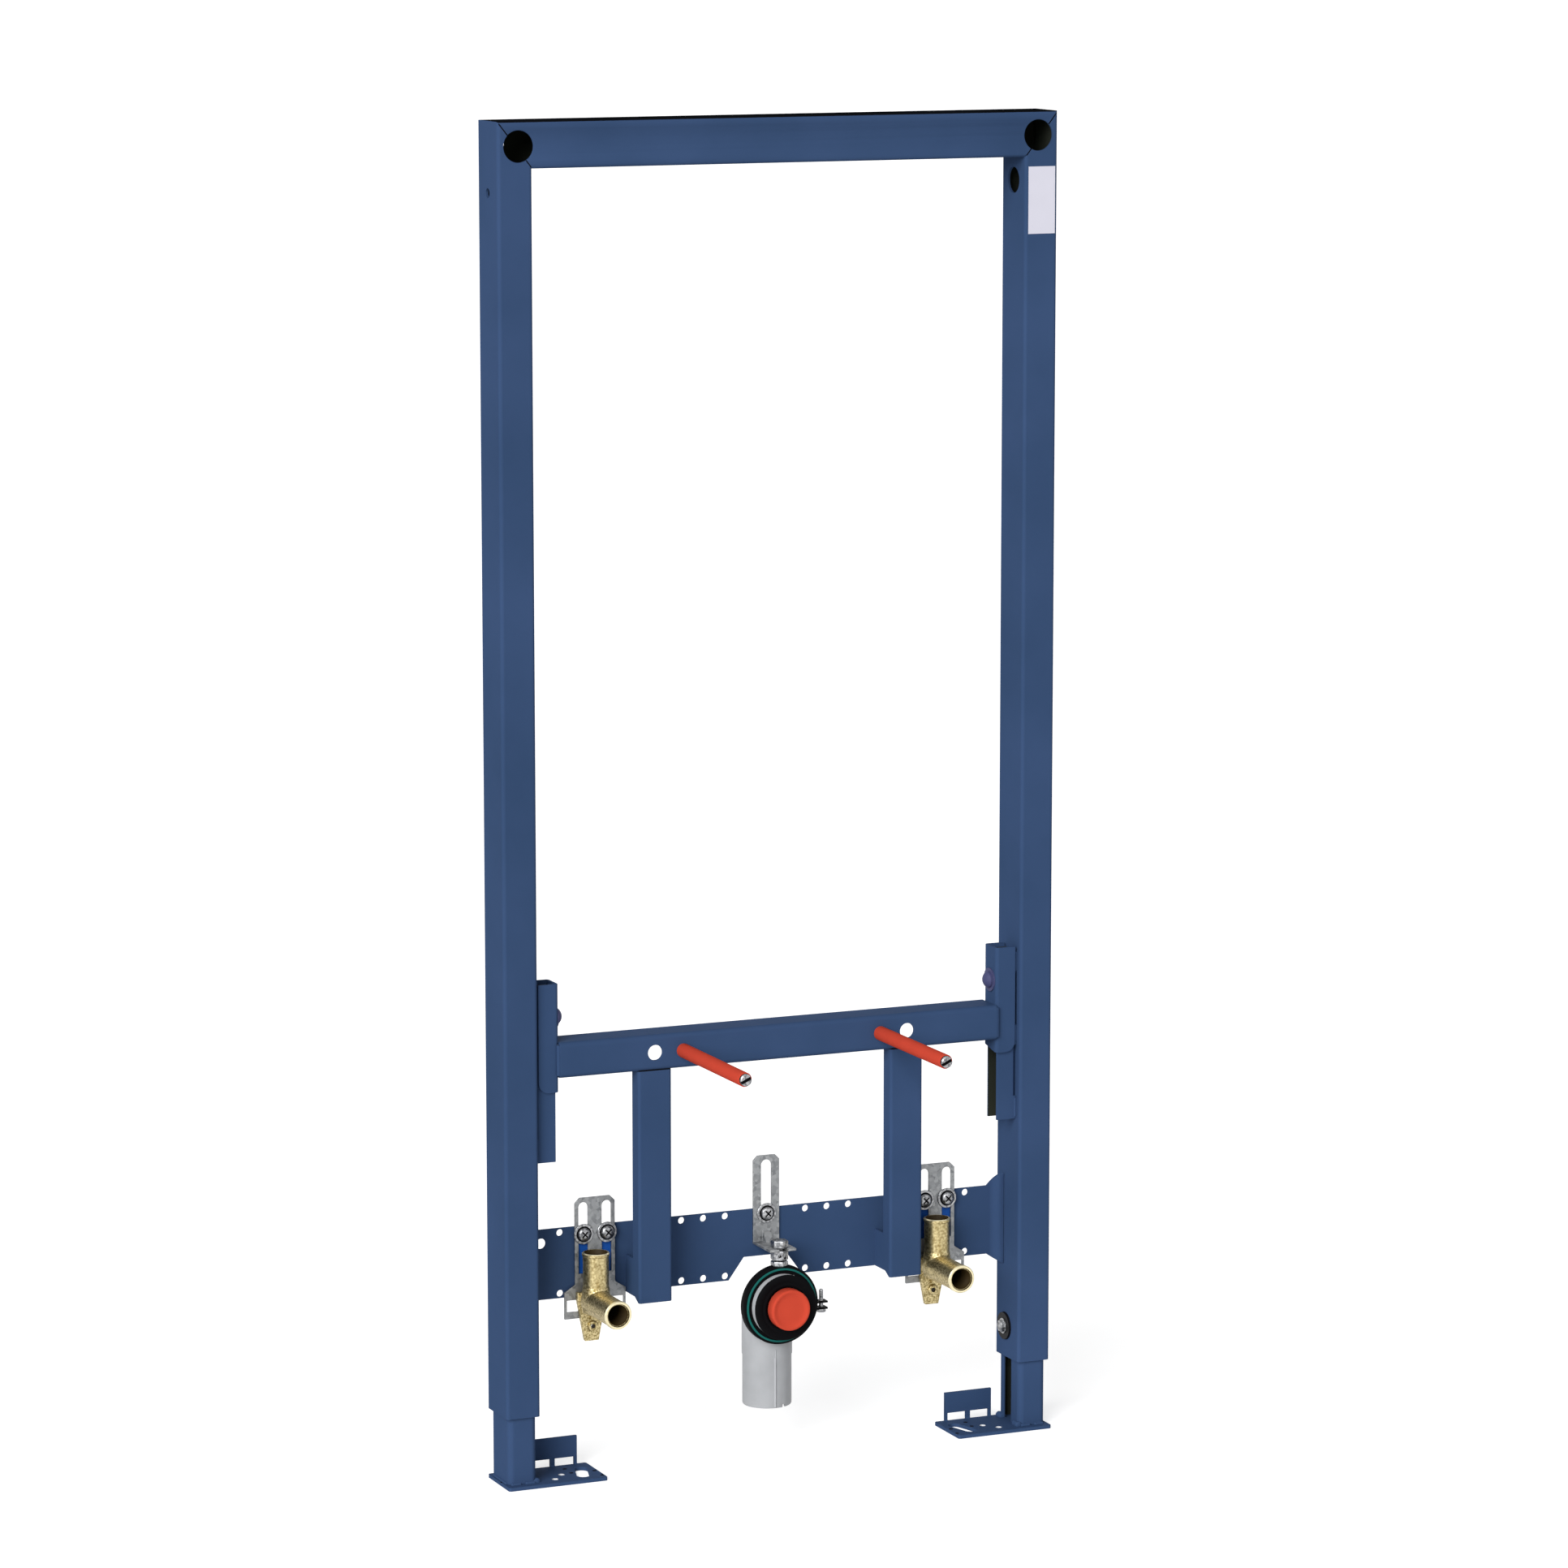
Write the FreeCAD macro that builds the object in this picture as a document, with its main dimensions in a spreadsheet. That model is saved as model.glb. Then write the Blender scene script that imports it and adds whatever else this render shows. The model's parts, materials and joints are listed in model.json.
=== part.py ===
import FreeCAD, Part
import math
import os

import Sketcher

# Installation frame for a wall-hung bidet, standing on two extendable legs.
# Millimetres, +X to the right, +Y towards the wall, +Z up.
# The origin is on the floor, under the middle of the overall box.
# Depths are measured from the plane of the uprights' fronts, which lies front_plane behind it.

# Driving dimensions, grouped by the piece that they shape.
DIMENSIONS = {
    # Outer frame of rectangular tube
    "frame_width": 500,
    "frame_height": 1130,
    "frame_depth": 45,
    "upright_width": 30,
    "upright_lift": 60,
    "rail_height": 38,
    "tube_wall": 2,
    "tube_corner": 3,
    # Wall fixing points in the mitred corners
    "access_hole": 26,
    "access_inset": 18,
    "access_drop": 20,
    "wall_screw_hole": 9,
    # Holes in the sides of the uprights
    "side_hole": 22,
    "side_hole_drop": 58,
    "cable_hole": 8,
    # Extendable legs of open C-section
    "leg_clearance": 0.5,
    "leg_wall": 2,
    "leg_corner": 5,
    "leg_slot": 15,
    "leg_length": 300,
    # Foot plates
    "foot_length": 88,
    "foot_depth": 50,
    "foot_overhang": 5,
    "foot_thickness": 3,
    "foot_corner": 2,
    "tab_thickness": 2.5,
    "tab_height": 28,
    "tab_length": 44,
    "tab_inset": 9,
    "tab_bend": 2,
    "tab_relief": 6,
    "window_length": 17.5,
    "window_height": 10,
    "window_margin": 2.5,
    "anchor_width": 11,
    "anchor_length": 31,
    "anchor_inset": 14,
    "anchor_setback": 23,
    "anchor_tilt": 17,
    "pin_hole": 5,
    "near_pin_inset": 33,
    "near_pin_setback": 22.5,
    "far_pin_inset": 43,
    "far_pin_setback": 11.5,
    # Leg clamps
    "clamp_hole": 24,
    "clamp_height": 87,
    "clamp_setback": 26,
    "clamp_flange": 2,
    "clamp_block": 5,
    "clamp_grip": 4,
    "seat_gap": 0.3,
    "clamp_washer": 13.5,
    "clamp_bolt_head": 10,
    "clamp_bolt_rise": 6,
    # Guide channels and the shoes that slide on them
    "channel_front": 7.5,
    "channel_depth": 19,
    "channel_reach": 18,
    "channel_wall": 2,
    "channel_bottom": 273,
    "channel_height": 147,
    "weld_length": 20,
    "weld_groove": 2.5,
    "groove_length": 44,
    "slide_clearance": 0.3,
    "shoe_wall": 2,
    "shoe_reach": 18,
    "shoe_height": 91,
    "shoe_below": 27,
    "shoe_corner": 3,
    "shoe_tongue": 9,
    "shoe_slant": 5,
    "lock_bolt_hole": 8.5,
    "lock_bolt_rise": 35,
    "lock_washer": 20,
    "lock_washer_thickness": 1.2,
    "lock_head": 14,
    "lock_head_height": 5.5,
    "lock_head_rim": 1.5,
    "lock_shank": 11.5,
    # Crossbar that carries the ceramic
    "crossbar_height": 359,
    "crossbar_size": 30,
    "crossbar_front": 2,
    "crossbar_wall": 2.5,
    "crossbar_corner": 4,
    "stud_spacing": 180,
    "wide_spacing": 230,
    "wide_hole": 13,
    # Threaded studs with their protective sleeves
    "stud_diameter": 10,
    "stud_reach": 131,
    "stud_clearance": 0.25,
    "sleeve_diameter": 12,
    "sleeve_reach": 128,
    "sleeve_clearance": 0.1,
    "stud_slot_width": 1.6,
    "stud_slot_depth": 2.5,
    "nut_flats": 17,
    "nut_height": 8,
    "stud_tail": 10,
    # Posts that hang from the crossbar
    "post_width": 30,
    "post_depth": 14,
    "post_front": 3,
    "post_bottom": 146,
    "post_spacing": 230,
    "post_chamfer": 6,
    "post_corner": 2.5,
    "sheet": 2,
    # Mounting plate between the uprights
    "plate_front": 38,
    "plate_bottom": 149,
    "plate_height": 60,
    "plate_gap": 0.5,
    "ear_reach": 9,
    "ear_bend": 8,
    "ear_length": 12,
    "ear_rise": 12,
    "ear_drop": 8,
    "row_inset": 4,
    "row_hole": 6,
    "row_pitch": 20,
    "row_start": 37,
    "end_hole_inset": 32.5,
    "hook_hole": 9,
    "hook_hole_inset": 15.5,
    "hook_hole_drop": 12,
    "cutout_half_bottom": 34,
    "cutout_half_top": 20,
    "cutout_height": 19,
    "lug_height": 32,
    "lug_reach": 32,
    # Tap connections
    "tap_gap": 27,
    "tap_bracket_width": 36,
    "tap_bracket_top": 234,
    "tap_bracket_chamfer": 4.5,
    "tap_shoulder": 160,
    "tap_slot_width": 8.5,
    "tap_slot_length": 61,
    "tap_slot_spacing": 21,
    "tap_slot_top": 230,
    "tap_screw_height": 203,
    "tap_foot_width": 55,
    "tap_foot_top": 154,
    "tap_foot_bottom": 131,
    "tap_foot_side": 2,
    "tap_window_width": 14,
    "tap_window_height": 10,
    "tap_window_rise": 6,
    "insulator_thickness": 2,
    "insulator_width": 31,
    "insulator_bottom": 167,
    "insulator_top": 207,
    "screw_washer": 17.5,
    "washer_thickness": 1.5,
    "screw_head": 10.5,
    "screw_head_height": 3,
    "screw_shank": 6,
    # Brass wall elbows
    "elbow_offset": -5,
    "elbow_axis_height": 147,
    "elbow_axis_depth": 20,
    "elbow_body": 24,
    "elbow_neck": 19,
    "elbow_riser": 21.6,
    "elbow_rim": 23.2,
    "elbow_rim_height": 3,
    "elbow_bore": 18.6,
    "elbow_bore_depth": 15,
    "elbow_passage": 14,
    "elbow_rise": 43,
    "elbow_reach": 50,
    "elbow_flange_thickness": 5,
    "elbow_ear_top": 26,
    "elbow_ear_rise": 7,
    "elbow_ear_tip": 12.4,
    "elbow_ear_length": 35,
    "elbow_ear_hole": 5,
    "elbow_ear_hole_rise": 14,
    # Waste connection
    "waste_axis_height": 132,
    "waste_axis_depth": 35,
    "waste_pipe": 43,
    "waste_wall": 2,
    "waste_bottom": 40,
    "spigot": 42,
    "spigot_length": 45,
    "socket_diameter": 54,
    "socket_front": 0,
    "waste_bracket_width": 24,
    "waste_bracket_top": 255,
    "waste_bracket_chamfer": 4,
    "waste_slot_width": 9.5,
    "waste_slot_bottom": 199,
    "waste_slot_top": 251,
    "waste_screw_height": 205,
    "waste_shelf_height": 179,
    "waste_shelf_reach": 36,
    "waste_gusset": 9,
    "waste_gusset_width": 7,
    "clamp_ring": 68,
    "clamp_ring_depth": 9,
    "clamp_ring_front": 4,
    "hanger": 13,
    "hanger_nut_height": 6.5,
    "lug_root": 6,
    "clamp_lug_reach": 9,
    "clamp_lug_drop": 4,
    "clamp_lug_gap": 4,
    "clamp_lug_thickness": 1.5,
    "clamp_screw": 4,
    "clamp_screw_rise": 10,
    "clamp_screw_head": 7,
    "clamp_screw_head_height": 3,
    "collar_diameter": 52,
    "collar_front": -7,
    "collar_insert": 12,
    "collar_bore": 30,
    "plug_diameter": 35,
    "plug_front": -17,
    "plug_recess": 2.5,
    "plug_rim": 2,
    "marker_ring": 65,
    "marker_ring_width": 2.2,
    "marker_ring_thickness": 1,
    # How far a cutter runs past the face where it starts
    "overrun": 1,
}

doc = FreeCAD.newDocument("bidet_frame")
sheet = doc.addObject("Spreadsheet::Sheet", "sizes")
for row, (alias, number) in enumerate(DIMENSIONS.items(), start=1):
    sheet.set(f"A{row}", alias)
    sheet.set(f"B{row}", str(number))
    sheet.setAlias(f"B{row}", alias)
doc.recompute()


class Size:
    """A length known both as a number and as a formula on the spreadsheet."""

    def __init__(self, number, formula):
        self.number = number
        self.formula = formula

    def join(self, other, sign, number):
        formula = other.formula if isinstance(other, Size) else repr(other)
        return Size(number, f"({self.formula} {sign} {formula})")

    def __add__(self, other):
        return self.join(other, "+", self.number + plain(other))

    def __sub__(self, other):
        return self.join(other, "-", self.number - plain(other))

    def __mul__(self, other):
        return self.join(other, "*", self.number * plain(other))

    def __truediv__(self, other):
        return self.join(other, "/", self.number / plain(other))

    def __neg__(self):
        return self * -1


def plain(length):
    """The number of a length, whether it is bound to the sheet or not."""
    return length.number if isinstance(length, Size) else length


def bind(thing, prop, length):
    """Ties a property to the spreadsheet, where the length has a formula."""
    if isinstance(length, Size):
        thing.setExpression(prop, length.formula)


size = {alias: Size(number, f"sizes.{alias}") for alias, number in DIMENSIONS.items()}
half_width = size["frame_width"] / 2
overrun = size["overrun"]
overall_back = size["waste_axis_depth"] + size["waste_pipe"] / 2
front_plane = (size["stud_reach"] - overall_back) / 2
TOLERANCE = 0.01
ALONG = {
    "x": FreeCAD.Rotation(FreeCAD.Vector(0, 1, 0), 90),
    "y": FreeCAD.Rotation(FreeCAD.Vector(1, 0, 0), -90),
    "z": FreeCAD.Rotation(),
}


# Drawing helpers
def place(thing, at, rotation=None):
    """Puts an object at a point: across, behind the plane of the fronts, and above the floor."""
    across, depth, level = at
    spot = (across, front_plane + depth, level)
    base = FreeCAD.Vector(*[plain(length) for length in spot])
    thing.Placement = FreeCAD.Placement(base, rotation or FreeCAD.Rotation())
    for axis, length in zip("xyz", spot):
        bind(thing, f"Placement.Base.{axis}", length)


def new_body(label, at):
    body = doc.addObject("PartDesign::Body", label)
    body.Label = label
    place(body, at)
    return body


def new_sketch(body, plane, lift=0):
    sketch = body.newObject("Sketcher::SketchObject", f"{body.Name}_sketch")
    support = next(item for item in body.Origin.OriginFeatures if item.Role == plane)
    sketch.AttachmentSupport = [(support, "")]
    sketch.MapMode = "FlatFace"
    if isinstance(lift, Size):
        sketch.AttachmentOffset = FreeCAD.Placement(
            FreeCAD.Vector(0, 0, lift.number), FreeCAD.Rotation()
        )
        sketch.setExpression("AttachmentOffset.Base.z", lift.formula)
    return sketch


def fix_point(sketch, element, corner, point):
    """Holds one point of a sketch at its two coordinates."""
    for kind, length in zip(("DistanceX", "DistanceY"), point):
        number = sketch.addConstraint(
            Sketcher.Constraint(kind, -1, 1, element, corner, float(plain(length)))
        )
        bind(sketch, f"Constraints[{number}]", length)


def draw_outline(sketch, points):
    """Draws a closed outline of straight lines through the points."""
    first = sketch.GeometryCount
    ends = [FreeCAD.Vector(plain(across), plain(up), 0) for across, up in points]
    for start, end in zip(ends, ends[1:] + ends[:1]):
        sketch.addGeometry(Part.LineSegment(start, end), False)
    for step, point in enumerate(points):
        following = first + (step + 1) % len(points)
        sketch.addConstraint(Sketcher.Constraint("Coincident", first + step, 2, following, 1))
        fix_point(sketch, first + step, 1, point)


def draw_circle(sketch, centre, diameter):
    """Draws a circle of the given diameter."""
    middle = FreeCAD.Vector(plain(centre[0]), plain(centre[1]), 0)
    normal = FreeCAD.Vector(0, 0, 1)
    circle = sketch.addGeometry(Part.Circle(middle, normal, plain(diameter) / 2), False)
    fix_point(sketch, circle, 3, centre)
    number = sketch.addConstraint(
        Sketcher.Constraint("Diameter", circle, float(plain(diameter)))
    )
    bind(sketch, f"Constraints[{number}]", diameter)


def rectangle(left, low, right, high):
    return [(left, low), (right, low), (right, high), (left, high)]


def pad(body, sketch, length, backwards=False):
    feature = body.newObject("PartDesign::Pad", f"{body.Name}_pad")
    feature.Profile = sketch
    feature.Length = plain(length)
    bind(feature, "Length", length)
    feature.Reversed = backwards
    doc.recompute()
    return feature


def pocket(body, sketch, depth=None, backwards=False):
    """Cuts a sketch into the body, right through it where no depth is given."""
    feature = body.newObject("PartDesign::Pocket", f"{body.Name}_pocket")
    feature.Profile = sketch
    if depth is None:
        feature.Type = "ThroughAll"
    else:
        feature.Length = plain(depth)
        bind(feature, "Length", depth)
    feature.Reversed = backwards
    before = body.Shape.Volume
    doc.recompute()
    if body.Shape.Volume >= before:
        raise ValueError(f"a pocket of {body.Label} cut nothing")
    return feature


def cut_holes(body, plane, holes, lift=0, depth=None, backwards=False):
    """Cuts round holes, each given as its centre and its diameter."""
    sketch = new_sketch(body, plane, lift)
    for centre, diameter in holes:
        draw_circle(sketch, centre, diameter)
    return pocket(body, sketch, depth, backwards)


def round_edges(body, radius, wanted):
    """Rounds the straight edges whose middle and direction the test accepts."""
    names = []
    for number, edge in enumerate(body.Tip.Shape.Edges, start=1):
        if edge.Curve.TypeId != "Part::GeomLine":
            continue
        middle = edge.valueAt((edge.FirstParameter + edge.LastParameter) / 2)
        direction = edge.tangentAt(edge.FirstParameter)
        if wanted(middle, direction):
            names.append(f"Edge{number}")
    solid = body.Tip
    feature = body.newObject("PartDesign::Fillet", f"{body.Name}_fillet")
    feature.Base = (solid, names)
    feature.Radius = plain(radius)
    bind(feature, "Radius", radius)
    doc.recompute()
    return feature


def near(place_found, length):
    return abs(place_found - plain(length)) < TOLERANCE


def along_axis(way, axis):
    """Whether an edge runs along an axis of its body."""
    return abs(getattr(way, axis)) > 1 - TOLERANCE


def box(name, at, spans):
    block = doc.addObject("Part::Box", name)
    for prop, length in zip(("Length", "Width", "Height"), spans):
        setattr(block, prop, plain(length))
        bind(block, prop, length)
    place(block, at)
    return block


def rod(name, at, diameter, length, along):
    cylinder = doc.addObject("Part::Cylinder", name)
    cylinder.Radius = plain(diameter) / 2
    bind(cylinder, "Radius", diameter / 2)
    cylinder.Height = plain(length)
    bind(cylinder, "Height", length)
    place(cylinder, at, ALONG[along])
    return cylinder


def prism(name, at, flats, length, along):
    """A hexagonal prism, measured across its flats."""
    nut = doc.addObject("Part::Prism", name)
    nut.Polygon = 6
    across = flats / math.sqrt(3)
    nut.Circumradius = plain(across)
    bind(nut, "Circumradius", across)
    nut.Height = plain(length)
    bind(nut, "Height", length)
    place(nut, at, ALONG[along])
    return nut


def ball(name, at, diameter):
    sphere = doc.addObject("Part::Sphere", name)
    sphere.Radius = plain(diameter) / 2
    bind(sphere, "Radius", diameter / 2)
    place(sphere, at)
    return sphere


def join(label, pieces):
    union = doc.addObject("Part::MultiFuse", label)
    union.Label = label
    union.Shapes = pieces
    union.Refine = True
    return union


def overlap(label, base, tool):
    """What two pieces have in common."""
    shared = doc.addObject("Part::Common", label)
    shared.Base = base
    shared.Tool = tool
    return shared


def carve(label, base, tools):
    remainder = doc.addObject("Part::Cut", label)
    remainder.Label = label
    remainder.Base = base
    remainder.Tool = tools[0] if len(tools) == 1 else join(f"{label}_tools", tools)
    remainder.Refine = True
    return remainder


def mirror(label, source):
    """The same piece on the other side of the frame."""
    twin = doc.addObject("Part::Mirroring", label)
    twin.Label = label
    twin.Source = source
    twin.Normal = FreeCAD.Vector(1, 0, 0)
    return twin


subparts = {}


def keep(label, thing):
    subparts[label] = thing
    return thing


def keep_pair(name, left):
    keep(f"left_{name}", left)
    keep(f"right_{name}", mirror(f"right_{name}", left))


# Uprights: closed tube with a mitred top, access holes and the hole for the leg clamp
def make_upright():
    height = size["frame_height"] - size["upright_lift"]
    width = size["upright_width"]
    depth = size["frame_depth"]
    wall = size["tube_wall"]
    body = new_body("left_upright", (-half_width, 0, size["upright_lift"]))
    outer = new_sketch(body, "XY_Plane")
    draw_outline(outer, rectangle(0, 0, width, depth))
    pad(body, outer, height)
    round_edges(body, size["tube_corner"], lambda middle, way: along_axis(way, "z"))
    inner = new_sketch(body, "XY_Plane")
    draw_outline(inner, rectangle(wall, wall, width - wall, depth - wall))
    pocket(body, inner, backwards=True)
    round_edges(
        body,
        size["tube_corner"] - wall,
        lambda middle, way: along_axis(way, "z")
        and (near(middle.x, wall) or near(middle.x, width - wall))
        and (near(middle.y, wall) or near(middle.y, depth - wall)),
    )
    mitre = new_sketch(body, "XZ_Plane")
    draw_outline(
        mitre, [(0, height), (width, height - size["rail_height"]), (width, height)]
    )
    pocket(body, mitre)
    access = (size["access_inset"], height - size["access_drop"])
    cut_holes(body, "XZ_Plane", [(access, size["access_hole"])], depth=wall * 2)
    cut_holes(body, "XZ_Plane", [(access, size["wall_screw_hole"])])
    side = (depth / 2, height - size["side_hole_drop"])
    clamp = (size["clamp_setback"], size["clamp_height"] - size["upright_lift"])
    inner_holes = [(side, size["side_hole"]), (clamp, size["clamp_hole"])]
    cut_holes(body, "YZ_Plane", inner_holes, lift=width, depth=wall * 2)
    cut_holes(body, "YZ_Plane", [(side, size["cable_hole"])], depth=wall * 2, backwards=True)
    return body


# Top rail: the same wall and depth, mitred to both uprights
def make_top_rail():
    length = size["frame_width"]
    height = size["rail_height"]
    depth = size["frame_depth"]
    wall = size["tube_wall"]
    width = size["upright_width"]
    body = new_body("top_rail", (-half_width, 0, size["frame_height"] - height))
    outer = new_sketch(body, "YZ_Plane")
    draw_outline(outer, rectangle(0, 0, depth, height))
    pad(body, outer, length)
    round_edges(body, size["tube_corner"], lambda middle, way: along_axis(way, "x"))
    inner = new_sketch(body, "YZ_Plane")
    draw_outline(inner, rectangle(wall, wall, depth - wall, height - wall))
    pocket(body, inner, backwards=True)
    round_edges(
        body,
        size["tube_corner"] - wall,
        lambda middle, way: along_axis(way, "x")
        and (near(middle.y, wall) or near(middle.y, depth - wall))
        and (near(middle.z, wall) or near(middle.z, height - wall)),
    )
    mitre = new_sketch(body, "XZ_Plane")
    draw_outline(mitre, [(0, 0), (width, 0), (0, height)])
    draw_outline(mitre, [(length, 0), (length - width, 0), (length, height)])
    pocket(body, mitre)
    inset = size["access_inset"]
    level = height - size["access_drop"]
    centres = [(inset, level), (length - inset, level)]
    access = [(centre, size["access_hole"]) for centre in centres]
    screws = [(centre, size["wall_screw_hole"]) for centre in centres]
    cut_holes(body, "XZ_Plane", access, depth=wall * 2)
    cut_holes(body, "XZ_Plane", screws)
    return body


keep_pair("upright", make_upright())
keep("top_rail", make_top_rail())


# Legs: a rounded C-section that slides inside the upright, its slot facing inwards
leg_gap = size["tube_wall"] + size["leg_clearance"]
leg_width = size["upright_width"] - leg_gap * 2
leg_depth = size["frame_depth"] - leg_gap * 2
leg_outside = -half_width + leg_gap


def make_leg():
    wall = size["leg_wall"]
    body = new_body("left_leg", (leg_outside, leg_gap, size["foot_thickness"]))
    outer = new_sketch(body, "XY_Plane")
    draw_outline(outer, rectangle(0, 0, leg_width, leg_depth))
    pad(body, outer, size["leg_length"])
    round_edges(body, size["leg_corner"], lambda middle, way: along_axis(way, "z"))
    inner = new_sketch(body, "XY_Plane")
    draw_outline(inner, rectangle(wall, wall, leg_width - wall, leg_depth - wall))
    pocket(body, inner, backwards=True)
    round_edges(
        body,
        size["leg_corner"] - wall,
        lambda middle, way: along_axis(way, "z")
        and (near(middle.x, wall) or near(middle.x, leg_width - wall))
        and (near(middle.y, wall) or near(middle.y, leg_depth - wall)),
    )
    slot = new_sketch(body, "XY_Plane")
    slot_low = size["clamp_setback"] - leg_gap - size["leg_slot"] / 2
    draw_outline(
        slot,
        rectangle(
            leg_width - wall * 2, slot_low, leg_width + wall, slot_low + size["leg_slot"]
        ),
    )
    pocket(body, slot, backwards=True)
    return body


# Foot plates: floor plate with a bent-up rear tab, drilled for the floor anchors
tab_end = size["foot_length"] - size["tab_inset"]
tab_start = tab_end - size["tab_length"]
tab_root = size["foot_depth"] - size["tab_relief"]
foot_origin = (-half_width, -size["foot_overhang"], 0)


def make_foot_sheet():
    length = size["foot_length"]
    depth = size["foot_depth"]
    body = new_body("left_foot_sheet", foot_origin)
    plate = new_sketch(body, "XY_Plane")
    draw_outline(
        plate,
        [
            (0, 0), (length, 0), (length, depth), (tab_end, depth), (tab_end, tab_root),
            (tab_start, tab_root), (tab_start, depth), (0, depth),
        ],
    )
    pad(body, plate, size["foot_thickness"])
    pins = [
        ((length - size["near_pin_inset"], size["near_pin_setback"]), size["pin_hole"]),
        ((length - size["far_pin_inset"], size["far_pin_setback"]), size["pin_hole"]),
    ]
    cut_holes(body, "XY_Plane", pins, backwards=True)
    round_edges(
        body,
        size["foot_corner"],
        lambda middle, way: along_axis(way, "z")
        and (near(middle.x, 0) or near(middle.x, length))
        and (near(middle.y, 0) or near(middle.y, depth)),
    )
    return body


def make_foot_tab():
    """The bent part of the plate, with two windows low in its upright side."""
    depth = size["foot_depth"]
    thickness = size["foot_thickness"]
    wall = size["tab_thickness"]
    height = size["tab_height"]
    body = new_body("left_foot_tab", foot_origin)
    profile = new_sketch(body, "YZ_Plane", lift=tab_start)
    draw_outline(
        profile,
        [
            (tab_root, 0), (depth, 0), (depth, height), (depth - wall, height),
            (depth - wall, thickness), (tab_root, thickness),
        ],
    )
    pad(body, profile, size["tab_length"])
    for radius, setback, level in (
        (size["tab_bend"], depth - wall, thickness),
        (size["tab_bend"] + wall, depth, 0),
    ):
        round_edges(
            body, radius,
            lambda middle, way: along_axis(way, "x")
            and near(middle.y, setback)
            and near(middle.z, level),
        )
    windows = new_sketch(body, "XZ_Plane", lift=-tab_root)
    margin = size["window_margin"]
    span = size["window_length"]
    for left in (tab_start + margin, tab_end - margin - span):
        draw_outline(windows, rectangle(left, thickness, left + span, size["window_height"]))
    pocket(body, windows)
    return body


def make_anchor_slot():
    """The slanted oblong cutter of the anchor slot."""
    straight = size["anchor_length"] - size["anchor_width"]
    height = size["foot_thickness"] * 3
    body = doc.addObject("PartDesign::Body", "anchor_slot")
    sketch = new_sketch(body, "XY_Plane")
    half = size["anchor_width"] / 2
    draw_outline(sketch, rectangle(-half, -straight / 2, half, straight / 2))
    pad(body, sketch, height)
    round_ends = new_sketch(body, "XY_Plane")
    draw_circle(round_ends, (0, straight / 2), size["anchor_width"])
    pad(body, round_ends, height)
    other_end = new_sketch(body, "XY_Plane")
    draw_circle(other_end, (0, -straight / 2), size["anchor_width"])
    pad(body, other_end, height)
    tilt = FreeCAD.Rotation(FreeCAD.Vector(0, 0, 1), -plain(size["anchor_tilt"]))
    across = -half_width + size["foot_length"] - size["anchor_inset"]
    setback = size["anchor_setback"] - size["foot_overhang"]
    place(body, (across, setback, -size["foot_thickness"]), tilt)
    return body


keep_pair("leg", make_leg())
foot_blank = join("left_foot_blank", [make_foot_sheet(), make_foot_tab()])
keep_pair("foot_plate", carve("left_foot_plate_slotted", foot_blank, [make_anchor_slot()]))


# Leg clamps: a black block behind the slot's lips and a zinc hexagon bolt in front
upright_inside = -half_width + size["upright_width"]


def make_leg_clamp():
    gap = size["seat_gap"]
    wall = size["tube_wall"]
    depth = size["clamp_setback"]
    level = size["clamp_height"]
    disc_start = upright_inside - wall + gap
    disc = rod(
        "clamp_disc", (disc_start, depth, level), size["clamp_hole"] - gap * 2,
        wall + size["clamp_flange"] - gap, "x",
    )
    neck_half = size["leg_slot"] / 2 - gap * 2
    block_end = leg_outside + leg_width - size["leg_wall"] - gap
    neck = box(
        "clamp_neck", (block_end - gap, depth - neck_half, level - neck_half),
        (disc_start - block_end + gap * 2, neck_half * 2, neck_half * 2),
    )
    block_half = size["leg_slot"] / 2 + size["clamp_grip"]
    block = box(
        "clamp_nut", (block_end - size["clamp_block"], depth - block_half, level - block_half),
        (size["clamp_block"], block_half * 2, block_half * 2),
    )
    return join("left_leg_clamp", [disc, neck, block])


def make_clamp_bolt():
    start = upright_inside + size["clamp_flange"]
    centre = (start, size["clamp_setback"], size["clamp_height"])
    washer = rod("clamp_washer", centre, size["clamp_washer"], size["washer_thickness"], "x")
    head_at = (start + size["washer_thickness"], centre[1], centre[2])
    head = prism(
        "clamp_head", head_at, size["clamp_bolt_head"],
        size["clamp_bolt_rise"] - size["washer_thickness"], "x",
    )
    return join("left_clamp_bolt", [washer, head])


keep_pair("leg_clamp", make_leg_clamp())
keep_pair("clamp_bolt", make_clamp_bolt())


# Guide channels: U-sections welded to the uprights, with open grooves between the welds
def make_guide_channel():
    reach = size["channel_reach"]
    depth = size["channel_depth"]
    wall = size["channel_wall"]
    body = new_body(
        "left_guide_channel", (upright_inside, size["channel_front"], size["channel_bottom"])
    )
    sketch = new_sketch(body, "XY_Plane")
    draw_outline(
        sketch,
        [
            (0, 0), (reach, 0), (reach, wall), (wall, wall),
            (wall, depth - wall), (reach, depth - wall), (reach, depth), (0, depth),
        ],
    )
    pad(body, sketch, size["channel_height"])
    groove = size["weld_groove"]
    length = size["groove_length"]
    first_top = size["weld_length"] + length
    for top in (first_top, size["channel_height"] - size["weld_length"]):
        corners = new_sketch(body, "XY_Plane", lift=top)
        draw_outline(corners, [(0, 0), (groove, 0), (0, groove)])
        draw_outline(corners, [(0, depth), (0, depth - groove), (groove, depth)])
        pocket(body, corners, depth=length)
    return body


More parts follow.
